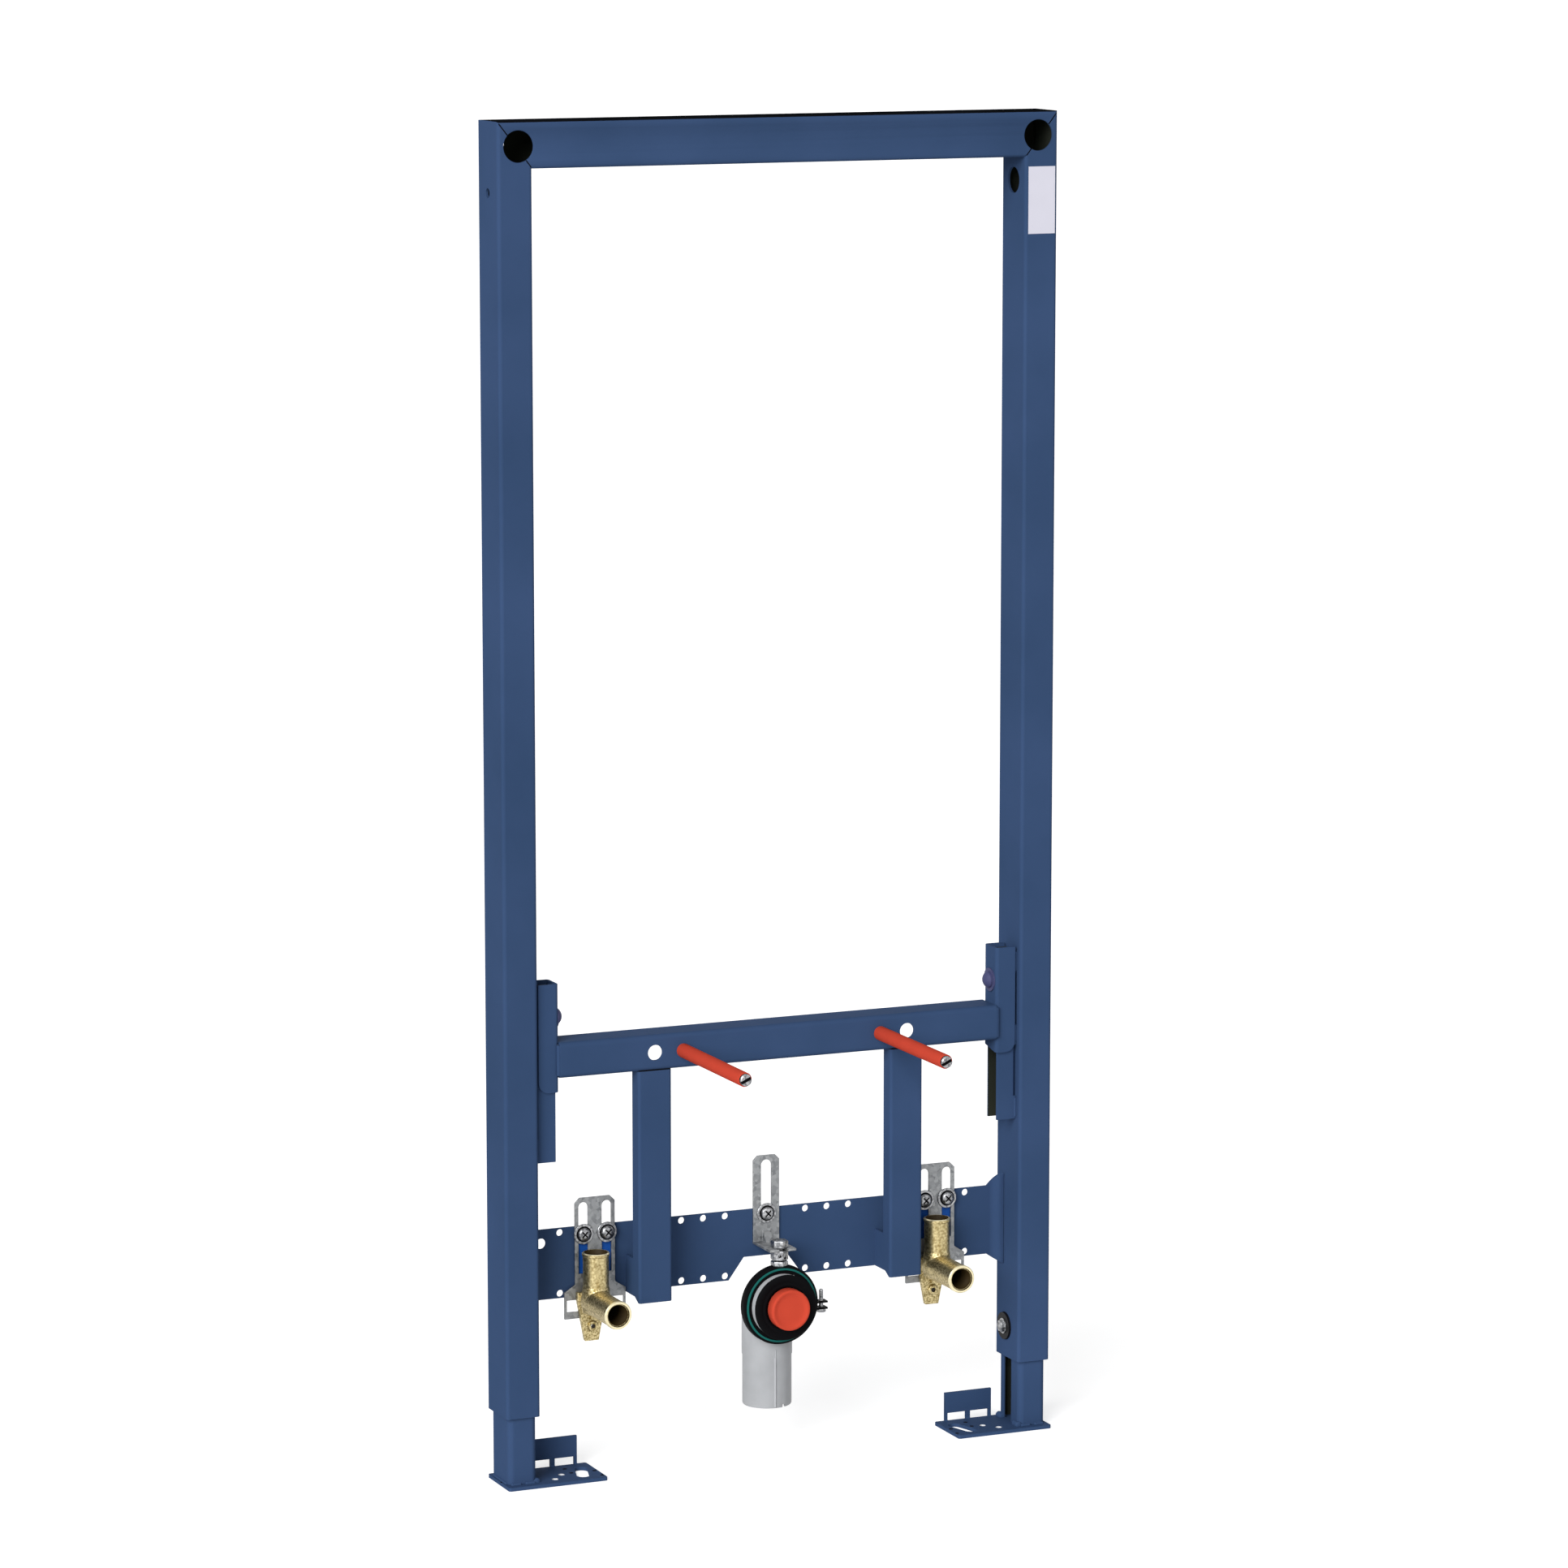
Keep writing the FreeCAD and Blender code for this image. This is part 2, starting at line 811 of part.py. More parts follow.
# Slide shoes: wider U-sections that wrap the channels and carry the crossbar
shoe_inside = upright_inside + size["channel_reach"] + size["slide_clearance"] + size["shoe_wall"]
shoe_depth = size["channel_depth"] + (size["slide_clearance"] + size["shoe_wall"]) * 2
shoe_front = size["channel_front"] - size["slide_clearance"] - size["shoe_wall"]
shoe_bottom = size["crossbar_height"] - size["shoe_below"]
lock_height = size["crossbar_height"] + size["lock_bolt_rise"]
lock_depth = size["channel_front"] + size["channel_depth"] / 2


def make_slide_shoe():
    reach = size["shoe_reach"]
    wall = size["shoe_wall"]
    body = new_body("left_slide_shoe", (shoe_inside - reach, shoe_front, shoe_bottom))
    sketch = new_sketch(body, "XY_Plane")
    draw_outline(
        sketch,
        [
            (0, 0), (reach, 0), (reach, shoe_depth), (0, shoe_depth),
            (0, shoe_depth - wall), (reach - wall, shoe_depth - wall),
            (reach - wall, wall), (0, wall),
        ],
    )
    pad(body, sketch, size["shoe_height"])
    hole = (lock_depth - shoe_front, lock_height - shoe_bottom)
    cut_holes(
        body, "YZ_Plane", [(hole, size["lock_bolt_hole"])], lift=reach, depth=wall * 2
    )
    round_edges(
        body, size["shoe_tongue"],
        lambda middle, way: along_axis(way, "y") and near(middle.z, 0) and near(middle.x, 0),
    )
    for radius, across, setback in (
        (size["shoe_corner"], reach, 0),
        (size["shoe_corner"] - wall, reach - wall, wall),
    ):
        round_edges(
            body, radius,
            lambda middle, way: along_axis(way, "z")
            and near(middle.x, across)
            and (near(middle.y, setback) or near(middle.y, shoe_depth - setback)),
        )
    slant = new_sketch(body, "YZ_Plane", lift=reach)
    draw_outline(slant, [(0, 0), (shoe_depth, 0), (shoe_depth, size["shoe_slant"])])
    pocket(body, slant)
    return body


def make_lock_bolt():
    centre = (shoe_inside, lock_depth, lock_height)
    washer = rod("lock_washer", centre, size["lock_washer"], size["lock_washer_thickness"], "x")
    head_at = (shoe_inside + size["lock_washer_thickness"], lock_depth, lock_height)
    head_height = size["lock_head_height"]
    radius = size["lock_head"] / 2
    rise = head_height - size["lock_head_rim"]
    dome_radius = (radius * radius + rise * rise) / (rise * 2)
    dome_at = (head_at[0] + head_height - dome_radius, lock_depth, lock_height)
    head = overlap(
        "lock_head",
        rod("lock_head_round", head_at, size["lock_head"], head_height, "x"),
        ball("lock_head_dome", dome_at, dome_radius * 2),
    )
    shank_length = size["lock_shank"]
    shank_at = (head_at[0] - shank_length, lock_depth, lock_height)
    shank_size = size["lock_bolt_hole"] - size["seat_gap"] * 2
    shank = rod("lock_shank", shank_at, shank_size, shank_length, "x")
    return join("left_lock_bolt", [washer, head, shank])


keep_pair("guide_channel", make_guide_channel())
keep_pair("slide_shoe", make_slide_shoe())
keep_pair("lock_bolt", make_lock_bolt())


# Crossbar: C-section open at the back, between the shoes, drilled for both stud spacings
crossbar_bottom = size["crossbar_height"] - size["crossbar_size"] / 2


def make_crossbar():
    side = size["crossbar_size"]
    wall = size["crossbar_wall"]
    length = -shoe_inside * 2
    body = new_body("crossbar", (shoe_inside, size["crossbar_front"], crossbar_bottom))
    section = new_sketch(body, "YZ_Plane")
    draw_outline(
        section,
        [
            (0, 0), (side, 0), (side, wall), (wall, wall),
            (wall, side - wall), (side, side - wall), (side, side), (0, side),
        ],
    )
    pad(body, section, length)
    for radius, setback, level in (
        (size["crossbar_corner"], 0, 0),
        (size["crossbar_corner"], 0, side),
        (size["crossbar_corner"] - wall, wall, wall),
        (size["crossbar_corner"] - wall, wall, side - wall),
    ):
        round_edges(
            body, radius,
            lambda middle, way: along_axis(way, "x")
            and near(middle.y, setback)
            and near(middle.z, level),
        )
    centres = [
        (-size["wide_spacing"] / 2, size["wide_hole"]),
        (-size["stud_spacing"] / 2, size["stud_diameter"] + size["stud_clearance"] * 2),
        (size["stud_spacing"] / 2, size["stud_diameter"] + size["stud_clearance"] * 2),
        (size["wide_spacing"] / 2, size["wide_hole"]),
    ]
    holes = [((across - shoe_inside, side / 2), diameter) for across, diameter in centres]
    cut_holes(body, "XZ_Plane", holes)
    return body


# Studs: threaded rods through the crossbar, slotted at the tip, under smooth sleeves
stud_across = -size["stud_spacing"] / 2
web_back = size["crossbar_front"] + size["crossbar_wall"]


def make_stud():
    reach = size["stud_reach"]
    tail = web_back + size["nut_height"] + size["stud_tail"]
    level = size["crossbar_height"]
    shaft = rod("stud_shaft", (stud_across, -reach, level), size["stud_diameter"], reach + tail, "y")
    slot = box(
        "stud_slot",
        (stud_across - size["stud_diameter"], -reach - overrun, level - size["stud_slot_width"] / 2),
        (size["stud_diameter"] * 2, size["stud_slot_depth"] + overrun, size["stud_slot_width"]),
    )
    return carve("left_stud", shaft, [slot])


def make_stud_nut():
    at = (stud_across, web_back, size["crossbar_height"])
    nut = prism("stud_nut_body", at, size["nut_flats"], size["nut_height"], "y")
    bore = rod(
        "stud_nut_bore", (at[0], at[1] - overrun, at[2]),
        size["stud_diameter"] + size["sleeve_clearance"] * 2, size["nut_height"] + overrun * 2, "y",
    )
    return carve("left_stud_nut", nut, [bore])


def make_stud_sleeve():
    reach = size["sleeve_reach"]
    at = (stud_across, -reach, size["crossbar_height"])
    length = reach + size["crossbar_front"]
    outer = rod("sleeve_outer", at, size["sleeve_diameter"], length, "y")
    bore_at = (stud_across, -reach - overrun, size["crossbar_height"])
    bore_size = size["stud_diameter"] + size["sleeve_clearance"] * 2
    bore = rod("sleeve_bore", bore_at, bore_size, length + overrun * 2, "y")
    return carve("left_stud_sleeve", outer, [bore])


keep("crossbar", make_crossbar())
keep_pair("stud", make_stud())
keep_pair("stud_nut", make_stud_nut())
keep_pair("stud_sleeve", make_stud_sleeve())


# Posts: C-sections open at the back, hanging from the crossbar
post_outside = -size["post_spacing"] / 2 - size["post_width"] / 2


def make_post():
    width = size["post_width"]
    depth = size["post_depth"]
    wall = size["sheet"]
    body = new_body("left_post", (post_outside, size["post_front"], size["post_bottom"]))
    sketch = new_sketch(body, "XY_Plane")
    draw_outline(
        sketch,
        [
            (0, 0), (width, 0), (width, depth), (width - wall, depth),
            (width - wall, wall), (wall, wall), (wall, depth), (0, depth),
        ],
    )
    pad(body, sketch, crossbar_bottom - size["post_bottom"])
    round_edges(
        body, size["post_corner"],
        lambda middle, way: along_axis(way, "z") and near(middle.y, 0),
    )
    chamfer = new_sketch(body, "YZ_Plane", lift=width)
    draw_outline(chamfer, [(wall, 0), (depth, 0), (depth, size["post_chamfer"])])
    pocket(body, chamfer)
    return body


# Mounting plate: thin strip with rows of holes, ends that curve forwards and flare,
# and lugs that reach forwards into the posts
def make_mounting_plate():
    height = size["plate_height"]
    wall = size["sheet"]
    half_length = half_width - size["upright_width"] - size["plate_gap"]
    body = new_body("mounting_plate", (0, size["plate_front"], size["plate_bottom"]))
    reach = size["ear_reach"]
    rise = size["ear_rise"]
    drop = size["ear_drop"]
    profile = new_sketch(body, "XY_Plane", lift=-drop)
    inside = half_length - wall
    draw_outline(
        profile,
        [
            (-half_length, -reach), (-inside, -reach), (-inside, 0), (inside, 0),
            (inside, -reach), (half_length, -reach), (half_length, wall), (-half_length, wall),
        ],
    )
    pad(body, profile, height + rise + drop)
    for radius, across, setback in (
        (size["ear_bend"], inside, 0),
        (size["ear_bend"] + wall, half_length, wall),
    ):
        round_edges(
            body, radius,
            lambda middle, way: along_axis(way, "z")
            and near(abs(middle.x), across)
            and near(middle.y, setback),
        )
    flare = new_sketch(body, "XZ_Plane", lift=reach)
    flare_start = half_length - size["ear_length"]
    for level, tip, beyond in (
        (height, height + rise, height + rise + overrun),
        (0, -drop, -drop - overrun),
    ):
        draw_outline(
            flare,
            [
                (-half_length, beyond), (-half_length, tip), (-flare_start, level),
                (flare_start, level), (half_length, tip), (half_length, beyond),
            ],
        )
    pocket(body, flare)
    low = size["cutout_half_bottom"]
    top = size["cutout_half_top"]
    cutout_top = size["cutout_height"]
    cutout = new_sketch(body, "XZ_Plane")
    draw_outline(
        cutout,
        [
            (-low, -overrun), (-low, 0), (-top, cutout_top), (top, cutout_top), (low, 0),
            (low, -overrun),
        ],
    )
    pocket(body, cutout)
    half_post = size["post_width"] / 2
    for centre in (-size["post_spacing"] / 2, size["post_spacing"] / 2):
        for start in (centre - half_post + wall, centre + half_post - wall * 2):
            lug = new_sketch(body, "YZ_Plane", lift=start)
            draw_outline(lug, rectangle(-size["lug_reach"], 0, wall, size["lug_height"]))
            pad(body, lug, wall)
    across = []
    for step in range(3):
        place_across = size["row_start"] + size["row_pitch"] * step
        across += [place_across, -place_across]
    end_hole = half_length - size["end_hole_inset"]
    across += [end_hole, -end_hole]
    holes = []
    for position in across:
        for level in (size["row_inset"], height - size["row_inset"]):
            holes.append(((position, level), size["row_hole"]))
    hook_hole = (size["hook_hole_inset"] - half_length, height - size["hook_hole_drop"])
    holes.append((hook_hole, size["hook_hole"]))
    cut_holes(body, "XZ_Plane", holes, lift=reach)
    return body


keep_pair("post", make_post())
keep("mounting_plate", make_mounting_plate())


# Tap connections: slotted bracket over a plastic insulator, two screws and a brass elbow
insulator_front = size["plate_front"] - size["insulator_thickness"]
bracket_front = insulator_front - size["sheet"]
slot_offset = size["tap_slot_spacing"] / 2


def make_insulator(side, centre):
    half = size["insulator_width"] / 2
    return box(
        f"{side}_insulator", (centre - half, insulator_front, size["insulator_bottom"]),
        (half * 2, size["insulator_thickness"], size["insulator_top"] - size["insulator_bottom"]),
    )


def make_tap_bracket(side, centre):
    bottom = size["tap_foot_bottom"]
    half = size["tap_bracket_width"] / 2
    foot = size["tap_foot_width"] / 2
    foot_top = size["tap_foot_top"] - bottom
    top = size["tap_bracket_top"] - bottom
    shoulder = size["tap_shoulder"] - bottom
    chamfer = size["tap_bracket_chamfer"]
    body = new_body(f"{side}_tap_bracket", (centre, bracket_front, bottom))
    outline = new_sketch(body, "XZ_Plane")
    draw_outline(
        outline,
        [
            (-foot, 0), (foot, 0), (foot, foot_top), (half, shoulder), (half, top - chamfer),
            (half - chamfer, top), (chamfer - half, top), (-half, top - chamfer),
            (-half, shoulder), (-foot, foot_top),
        ],
    )
    pad(body, outline, size["sheet"], backwards=True)
    openings = new_sketch(body, "XZ_Plane")
    slot_half = size["tap_slot_width"] / 2
    slot_top = size["tap_slot_top"] - bottom
    slot_high = slot_top - slot_half
    slot_low = slot_top - size["tap_slot_length"]
    window_low = size["tap_window_rise"]
    window_high = window_low + size["tap_window_height"]
    window_outside = foot - size["tap_foot_side"]
    window_inside = window_outside - size["tap_window_width"]
    for middle in (-slot_offset, slot_offset):
        draw_outline(openings, rectangle(middle - slot_half, slot_low, middle + slot_half, slot_high))
    draw_outline(openings, rectangle(-window_outside, window_low, -window_inside, window_high))
    draw_outline(openings, rectangle(window_inside, window_low, window_outside, window_high))
    pocket(body, openings)
    ends = [((middle, slot_high), size["tap_slot_width"]) for middle in (-slot_offset, slot_offset)]
    cut_holes(body, "XZ_Plane", ends)
    return body


def make_screw(name, across, front, level, length):
    """A washer and a round head on a plate's face, with a shank into the plate."""
    washer_at = (across, front - size["washer_thickness"], level)
    washer = rod(f"{name}_washer", washer_at, size["screw_washer"], size["washer_thickness"], "y")
    head_at = (across, washer_at[1] - size["screw_head_height"], level)
    head = rod(f"{name}_head", head_at, size["screw_head"], size["screw_head_height"], "y")
    shank = rod(f"{name}_shank", (across, front, level), size["screw_shank"], length, "y")
    return join(name, [washer, head, shank])


def make_tap_screws(side, centre):
    level = size["tap_screw_height"]
    pair = [
        make_screw(
            f"{side}_tap_screw_{word}", centre + slot_offset * sign, bracket_front, level,
            size["sheet"] - size["seat_gap"],
        )
        for sign, word in ((-1, "outer"), (1, "inner"))
    ]
    both = doc.addObject("Part::Compound", f"{side}_tap_screws")
    both.Label = f"{side}_tap_screws"
    both.Links = pair
    return both


def make_tap_elbow(side, centre):
    across = centre + size["elbow_offset"]
    depth = size["elbow_axis_depth"]
    level = size["elbow_axis_height"]
    body_size = size["elbow_body"]
    bore_depth = size["elbow_bore_depth"]
    front = depth - size["elbow_reach"]
    top = level + size["elbow_rise"]
    riser = rod(
        f"{side}_elbow_riser", (across, depth, level), size["elbow_riser"], size["elbow_rise"], "z"
    )
    rim_at = (across, depth, top - size["elbow_rim_height"])
    rim = rod(f"{side}_elbow_rim", rim_at, size["elbow_rim"], size["elbow_rim_height"], "z")
    outlet_at = (across, front, level)
    outlet = rod(f"{side}_elbow_outlet", outlet_at, body_size, size["elbow_reach"], "y")
    knuckle = ball(f"{side}_elbow_knuckle", (across, depth, level), body_size)
    back = bracket_front - depth
    neck = rod(f"{side}_elbow_neck", (across, depth, level), size["elbow_neck"], back, "y")
    ear = new_body(f"{side}_elbow_ear", (across, bracket_front, level))
    outline = new_sketch(ear, "XZ_Plane")
    half_top = size["elbow_ear_top"] / 2
    half_tip = size["elbow_ear_tip"] / 2
    ear_rise = size["elbow_ear_rise"]
    ear_length = size["elbow_ear_length"]
    draw_outline(
        outline,
        [
            (-half_tip, -ear_length), (half_tip, -ear_length), (half_top, 0),
            (half_top, ear_rise), (-half_top, ear_rise), (-half_top, 0),
        ],
    )
    pad(ear, outline, size["elbow_flange_thickness"])
    screw_hole = ((0, size["elbow_ear_hole_rise"] - ear_length), size["elbow_ear_hole"])
    cut_holes(ear, "XZ_Plane", [screw_hole], backwards=True)
    casting = join(f"{side}_elbow_casting", [riser, rim, outlet, knuckle, neck, ear])
    bores = [
        rod(
            f"{side}_elbow_top_bore", (across, depth, top - bore_depth),
            size["elbow_bore"], bore_depth * 2, "z",
        ),
        rod(
            f"{side}_elbow_front_bore", (across, front - bore_depth, level),
            size["elbow_bore"], bore_depth * 2, "y",
        ),
        rod(
            f"{side}_elbow_down_passage", (across, depth, level),
            size["elbow_passage"], size["elbow_rise"], "z",
        ),
        rod(
            f"{side}_elbow_cross_passage", (across, front, level),
            size["elbow_passage"], size["elbow_reach"], "y",
        ),
        ball(f"{side}_elbow_hollow", (across, depth, level), size["elbow_passage"]),
    ]
    return carve(f"{side}_tap_elbow", casting, bores)


for side, sign in (("left", -1), ("right", 1)):
    centre = (size["post_spacing"] / 2 + size["post_width"] / 2 + size["tap_gap"]) * sign
    keep(f"{side}_insulator", make_insulator(side, centre))
    keep(f"{side}_tap_bracket", make_tap_bracket(side, centre))
    keep(f"{side}_tap_screws", make_tap_screws(side, centre))
    keep(f"{side}_tap_elbow", make_tap_elbow(side, centre))


# Waste connection: slotted bracket, pipe clamp, elbow, rubber collar and plug
waste_bracket_front = size["plate_front"] - size["sheet"]


def make_waste_bracket():
    half = size["waste_bracket_width"] / 2
    bottom = size["waste_shelf_height"]
    top = size["waste_bracket_top"] - bottom
    wall = size["sheet"]
    chamfer = size["waste_bracket_chamfer"]
    body = new_body("waste_bracket", (0, waste_bracket_front, bottom))
    outline = new_sketch(body, "XZ_Plane")
    draw_outline(
        outline,
        [
            (-half, 0), (half, 0), (half, top - chamfer), (half - chamfer, top),
            (chamfer - half, top), (-half, top - chamfer),
        ],
    )
    pad(body, outline, wall, backwards=True)
    shelf = new_sketch(body, "XY_Plane")
    draw_outline(shelf, rectangle(-half, -size["waste_shelf_reach"], half, wall))
    pad(body, shelf, wall)
    gusset_width = size["waste_gusset_width"]
    gusset = new_sketch(body, "YZ_Plane", lift=-gusset_width / 2)
    rise = size["waste_gusset"] + wall
    draw_outline(gusset, [(0, wall), (0, rise), (-size["waste_gusset"], wall)])
    pad(body, gusset, gusset_width)
    slot_half = size["waste_slot_width"] / 2
    low = size["waste_slot_bottom"] - bottom + slot_half
    high = size["waste_slot_top"] - bottom - slot_half
    slot = new_sketch(body, "XZ_Plane")
    draw_outline(slot, rectangle(-slot_half, low, slot_half, high))
    pocket(body, slot)
    ends = [((0, level), size["waste_slot_width"]) for level in (low, high)]
    cut_holes(body, "XZ_Plane", ends)
    return body


clamp_middle = size["clamp_ring_front"] + size["clamp_ring_depth"] / 2
clamp_back = size["clamp_ring_front"] + size["clamp_ring_depth"]
lug_level = size["waste_axis_height"] - size["clamp_lug_drop"]
lug_end = size["clamp_ring"] / 2 + size["clamp_lug_reach"]
screw_across = size["clamp_ring"] / 2 + size["clamp_lug_reach"] / 2
lug_top = lug_level + size["clamp_lug_gap"] / 2 + size["clamp_lug_thickness"]
lug_bottom = lug_level - size["clamp_lug_gap"] / 2 - size["clamp_lug_thickness"]


def make_pipe_clamp():
    """A ring that is split on the right, where two lugs take the clamp screw."""
    front = size["clamp_ring_front"]
    depth = size["clamp_ring_depth"]
    level = size["waste_axis_height"]
    ring = rod("clamp_band", (0, front, level), size["clamp_ring"], depth, "y")
    root = size["clamp_ring"] / 2 - size["lug_root"]
    spans = (lug_end - root, depth, size["clamp_lug_thickness"])
    upper = box("clamp_upper_lug", (root, front, lug_top - size["clamp_lug_thickness"]), spans)
    lower = box("clamp_lower_lug", (root, front, lug_bottom), spans)
    bore_size = size["socket_diameter"] + size["seat_gap"] * 2
    bore = rod("clamp_bore", (0, front - overrun, level), bore_size, depth + overrun * 2, "y")
    hole_size = size["clamp_screw"] + size["seat_gap"] * 2
    hole = rod(
        "clamp_lug_hole", (screw_across, clamp_middle, lug_bottom - overrun), hole_size,
        lug_top - lug_bottom + overrun * 2, "z",
    )
    return carve("pipe_clamp", join("clamp_blank", [ring, upper, lower]), [bore, hole])


def make_clamp_screw():
    head_height = size["clamp_screw_head_height"]
    head_at = (screw_across, clamp_middle, lug_bottom - head_height)
    head = prism("clamp_screw_head", head_at, size["clamp_screw_head"], head_height, "z")
    length = lug_top - lug_bottom + size["clamp_screw_rise"]
    shank = rod(
        "clamp_screw_shank", (screw_across, clamp_middle, lug_bottom), size["clamp_screw"], length, "z"
    )
    return join("clamp_screw", [head, shank])


def make_hanger_boss():
    """A hexagonal boss that stands on the clamp and meets the bracket's shelf."""
    level = size["waste_axis_height"]
    length = size["waste_shelf_height"] - level
    boss = prism("hanger_boss_blank", (0, clamp_middle, level), size["hanger"], length, "z")
    seat_at = (0, clamp_middle - size["hanger"], level)
    seat = rod("hanger_boss_seat", seat_at, size["clamp_ring"], size["hanger"] * 2, "y")
    return carve("hanger_boss", boss, [seat])


def make_hanger_nut():
    top = size["waste_shelf_height"] + size["sheet"]
    nut_at = (0, clamp_middle, top)
    return prism("hanger_nut", nut_at, size["hanger"], size["hanger_nut_height"], "z")


def make_waste_elbow():
    depth = size["waste_axis_depth"]
    level = size["waste_axis_height"]
    front = size["socket_front"]
    bottom = size["waste_bottom"]
    pipe = size["waste_pipe"]
    bore_size = pipe - size["waste_wall"] * 2
    bend_bottom = bottom + size["spigot_length"]
    spigot = rod("waste_spigot", (0, depth, bottom), size["spigot"], size["spigot_length"], "z")
    tail = rod("waste_tail", (0, depth, bend_bottom), pipe, level - bend_bottom, "z")
    knuckle = ball("waste_knuckle", (0, depth, level), pipe)
    arm = rod("waste_arm", (0, front, level), pipe, depth - front, "y")
    socket = rod("waste_socket", (0, front, level), size["socket_diameter"], clamp_back - front, "y")
    casting = join("waste_casting", [spigot, tail, knuckle, arm, socket])
    bores = [
        rod(
            "waste_tail_bore", (0, depth, bottom - overrun), bore_size, level - bottom + overrun, "z"
        ),
        ball("waste_hollow", (0, depth, level), bore_size),
        rod("waste_arm_bore", (0, front - overrun, level), bore_size, depth - front + overrun, "y"),
    ]
    return carve("waste_elbow", casting, bores)


def make_waste_collar():
    level = size["waste_axis_height"]
    front = size["collar_front"]
    flange_length = size["socket_front"] - front
    length = flange_length + size["collar_insert"]
    flange = rod("collar_flange", (0, front, level), size["collar_diameter"], flange_length, "y")
    insert_size = size["waste_pipe"] - size["waste_wall"] * 2 - size["seat_gap"] * 2
    insert = rod("collar_insert", (0, front, level), insert_size, length, "y")
    bore_at = (0, front - overrun, level)
    bore = rod("collar_bore", bore_at, size["collar_bore"], length + overrun * 2, "y")
    return carve("waste_collar", join("collar_blank", [flange, insert]), [bore])


def make_waste_plug():
    level = size["waste_axis_height"]
    front = size["plug_front"]
    cap_length = size["collar_front"] - front
    cap = rod("plug_cap", (0, front, level), size["plug_diameter"], cap_length, "y")
    stem_size = size["collar_bore"] - size["seat_gap"] * 2
    stem_length = cap_length + size["collar_insert"]
    stem = rod("plug_stem", (0, front, level), stem_size, stem_length, "y")
    recess_size = size["plug_diameter"] - size["plug_rim"] * 2
    recess_at = (0, front - overrun, level)
    recess = rod("plug_recess", recess_at, recess_size, size["plug_recess"] + overrun, "y")
    return carve("waste_plug", join("plug_blank", [cap, stem]), [recess])


def make_marker_ring():
    level = size["waste_axis_height"]
    thickness = size["marker_ring_thickness"]
    front = size["clamp_ring_front"] - thickness
    outer = rod("marker_outer", (0, front, level), size["marker_ring"], thickness, "y")
    bore_size = size["marker_ring"] - size["marker_ring_width"] * 2
    bore_at = (0, front - overrun, level)
    bore = rod("marker_bore", bore_at, bore_size, thickness + overrun * 2, "y")
    return carve("clamp_marker_ring", outer, [bore])


keep("waste_bracket", make_waste_bracket())
waste_screw = make_screw(
    "waste_bracket_screw", 0, waste_bracket_front, size["waste_screw_height"],
    size["sheet"] - size["seat_gap"],
)
keep("waste_bracket_screw", waste_screw)
keep("pipe_clamp", make_pipe_clamp())
keep("clamp_screw", make_clamp_screw())
keep("hanger_boss", make_hanger_boss())
keep("hanger_nut", make_hanger_nut())
keep("waste_elbow", make_waste_elbow())
keep("waste_collar", make_waste_collar())
keep("waste_plug", make_waste_plug())
keep("clamp_marker_ring", make_marker_ring())

doc.recompute()
for thing in doc.Objects:
    if "Invalid" in thing.State or "Error" in thing.State:
        raise ValueError(f"{thing.Name} did not recompute: {thing.State}")

os.makedirs("parts", exist_ok=True)
for label, thing in subparts.items():
    shape = thing.Shape
    if shape.isNull() or not shape.isValid():
        raise ValueError(f"{label} has no valid shape")
    shape.exportStep(f"parts/{label}.step")
    print(label, len(shape.Solids), round(shape.Volume), shape.BoundBox)
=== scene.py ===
# %% [markdown]
# # Dressing an installation frame for a wall-hung bidet
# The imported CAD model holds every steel, brass and plastic part at its true size.
# This lesson loads it, looks at it from the side of the photograph, gives each part
# the surface it has on the real object and adds the small forms that CAD leaves out.

# %% Load the frame
import json
import math

import bmesh
import bpy
from mathutils import Matrix, Vector


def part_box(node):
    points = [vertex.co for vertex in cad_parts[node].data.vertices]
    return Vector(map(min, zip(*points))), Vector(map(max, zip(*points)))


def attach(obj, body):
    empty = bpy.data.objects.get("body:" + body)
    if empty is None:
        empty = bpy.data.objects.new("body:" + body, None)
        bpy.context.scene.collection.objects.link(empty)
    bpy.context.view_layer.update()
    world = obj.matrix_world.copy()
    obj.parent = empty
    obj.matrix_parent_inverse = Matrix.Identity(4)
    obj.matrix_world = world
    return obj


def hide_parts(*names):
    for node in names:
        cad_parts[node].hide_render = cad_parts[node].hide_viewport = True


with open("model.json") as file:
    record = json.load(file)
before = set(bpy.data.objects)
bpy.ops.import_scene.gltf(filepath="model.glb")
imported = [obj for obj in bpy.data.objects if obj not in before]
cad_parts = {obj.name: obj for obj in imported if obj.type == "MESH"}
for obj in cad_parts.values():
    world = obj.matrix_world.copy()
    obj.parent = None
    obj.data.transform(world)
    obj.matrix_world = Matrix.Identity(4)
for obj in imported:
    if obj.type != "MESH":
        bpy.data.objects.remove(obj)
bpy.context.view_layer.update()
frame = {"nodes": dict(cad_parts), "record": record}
nodes = frame["nodes"]
print(len(nodes), "parts in the packed model")

# %% [markdown]
# Every length on the object is written in millimetres, as on a drawing, and turned to
# the metres of the scene by one factor. Depths are counted from the plane of the
# uprights' fronts, because everything on the frame is set out from that plane. What
# comes in pairs is made in one loop over the two sides, and a sign mirrors it.

# %% Units and the plane of the fronts
MM = 0.001
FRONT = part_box("left_upright")[0].y
SIDES = (("left", -1), ("right", 1))


def point(across, depth, level):
    """A place in the scene from millimetres across, behind the fronts and above the floor."""
    return Vector((across * MM, FRONT + depth * MM, level * MM))


print("plane of the fronts at y =", round(FRONT, 5))

# %% [markdown]
# The photograph was taken from a little left of the object and from above its middle,
# with a long lens, so the uprights stay nearly parallel. The camera comes first,
# since every later choice is judged through it.

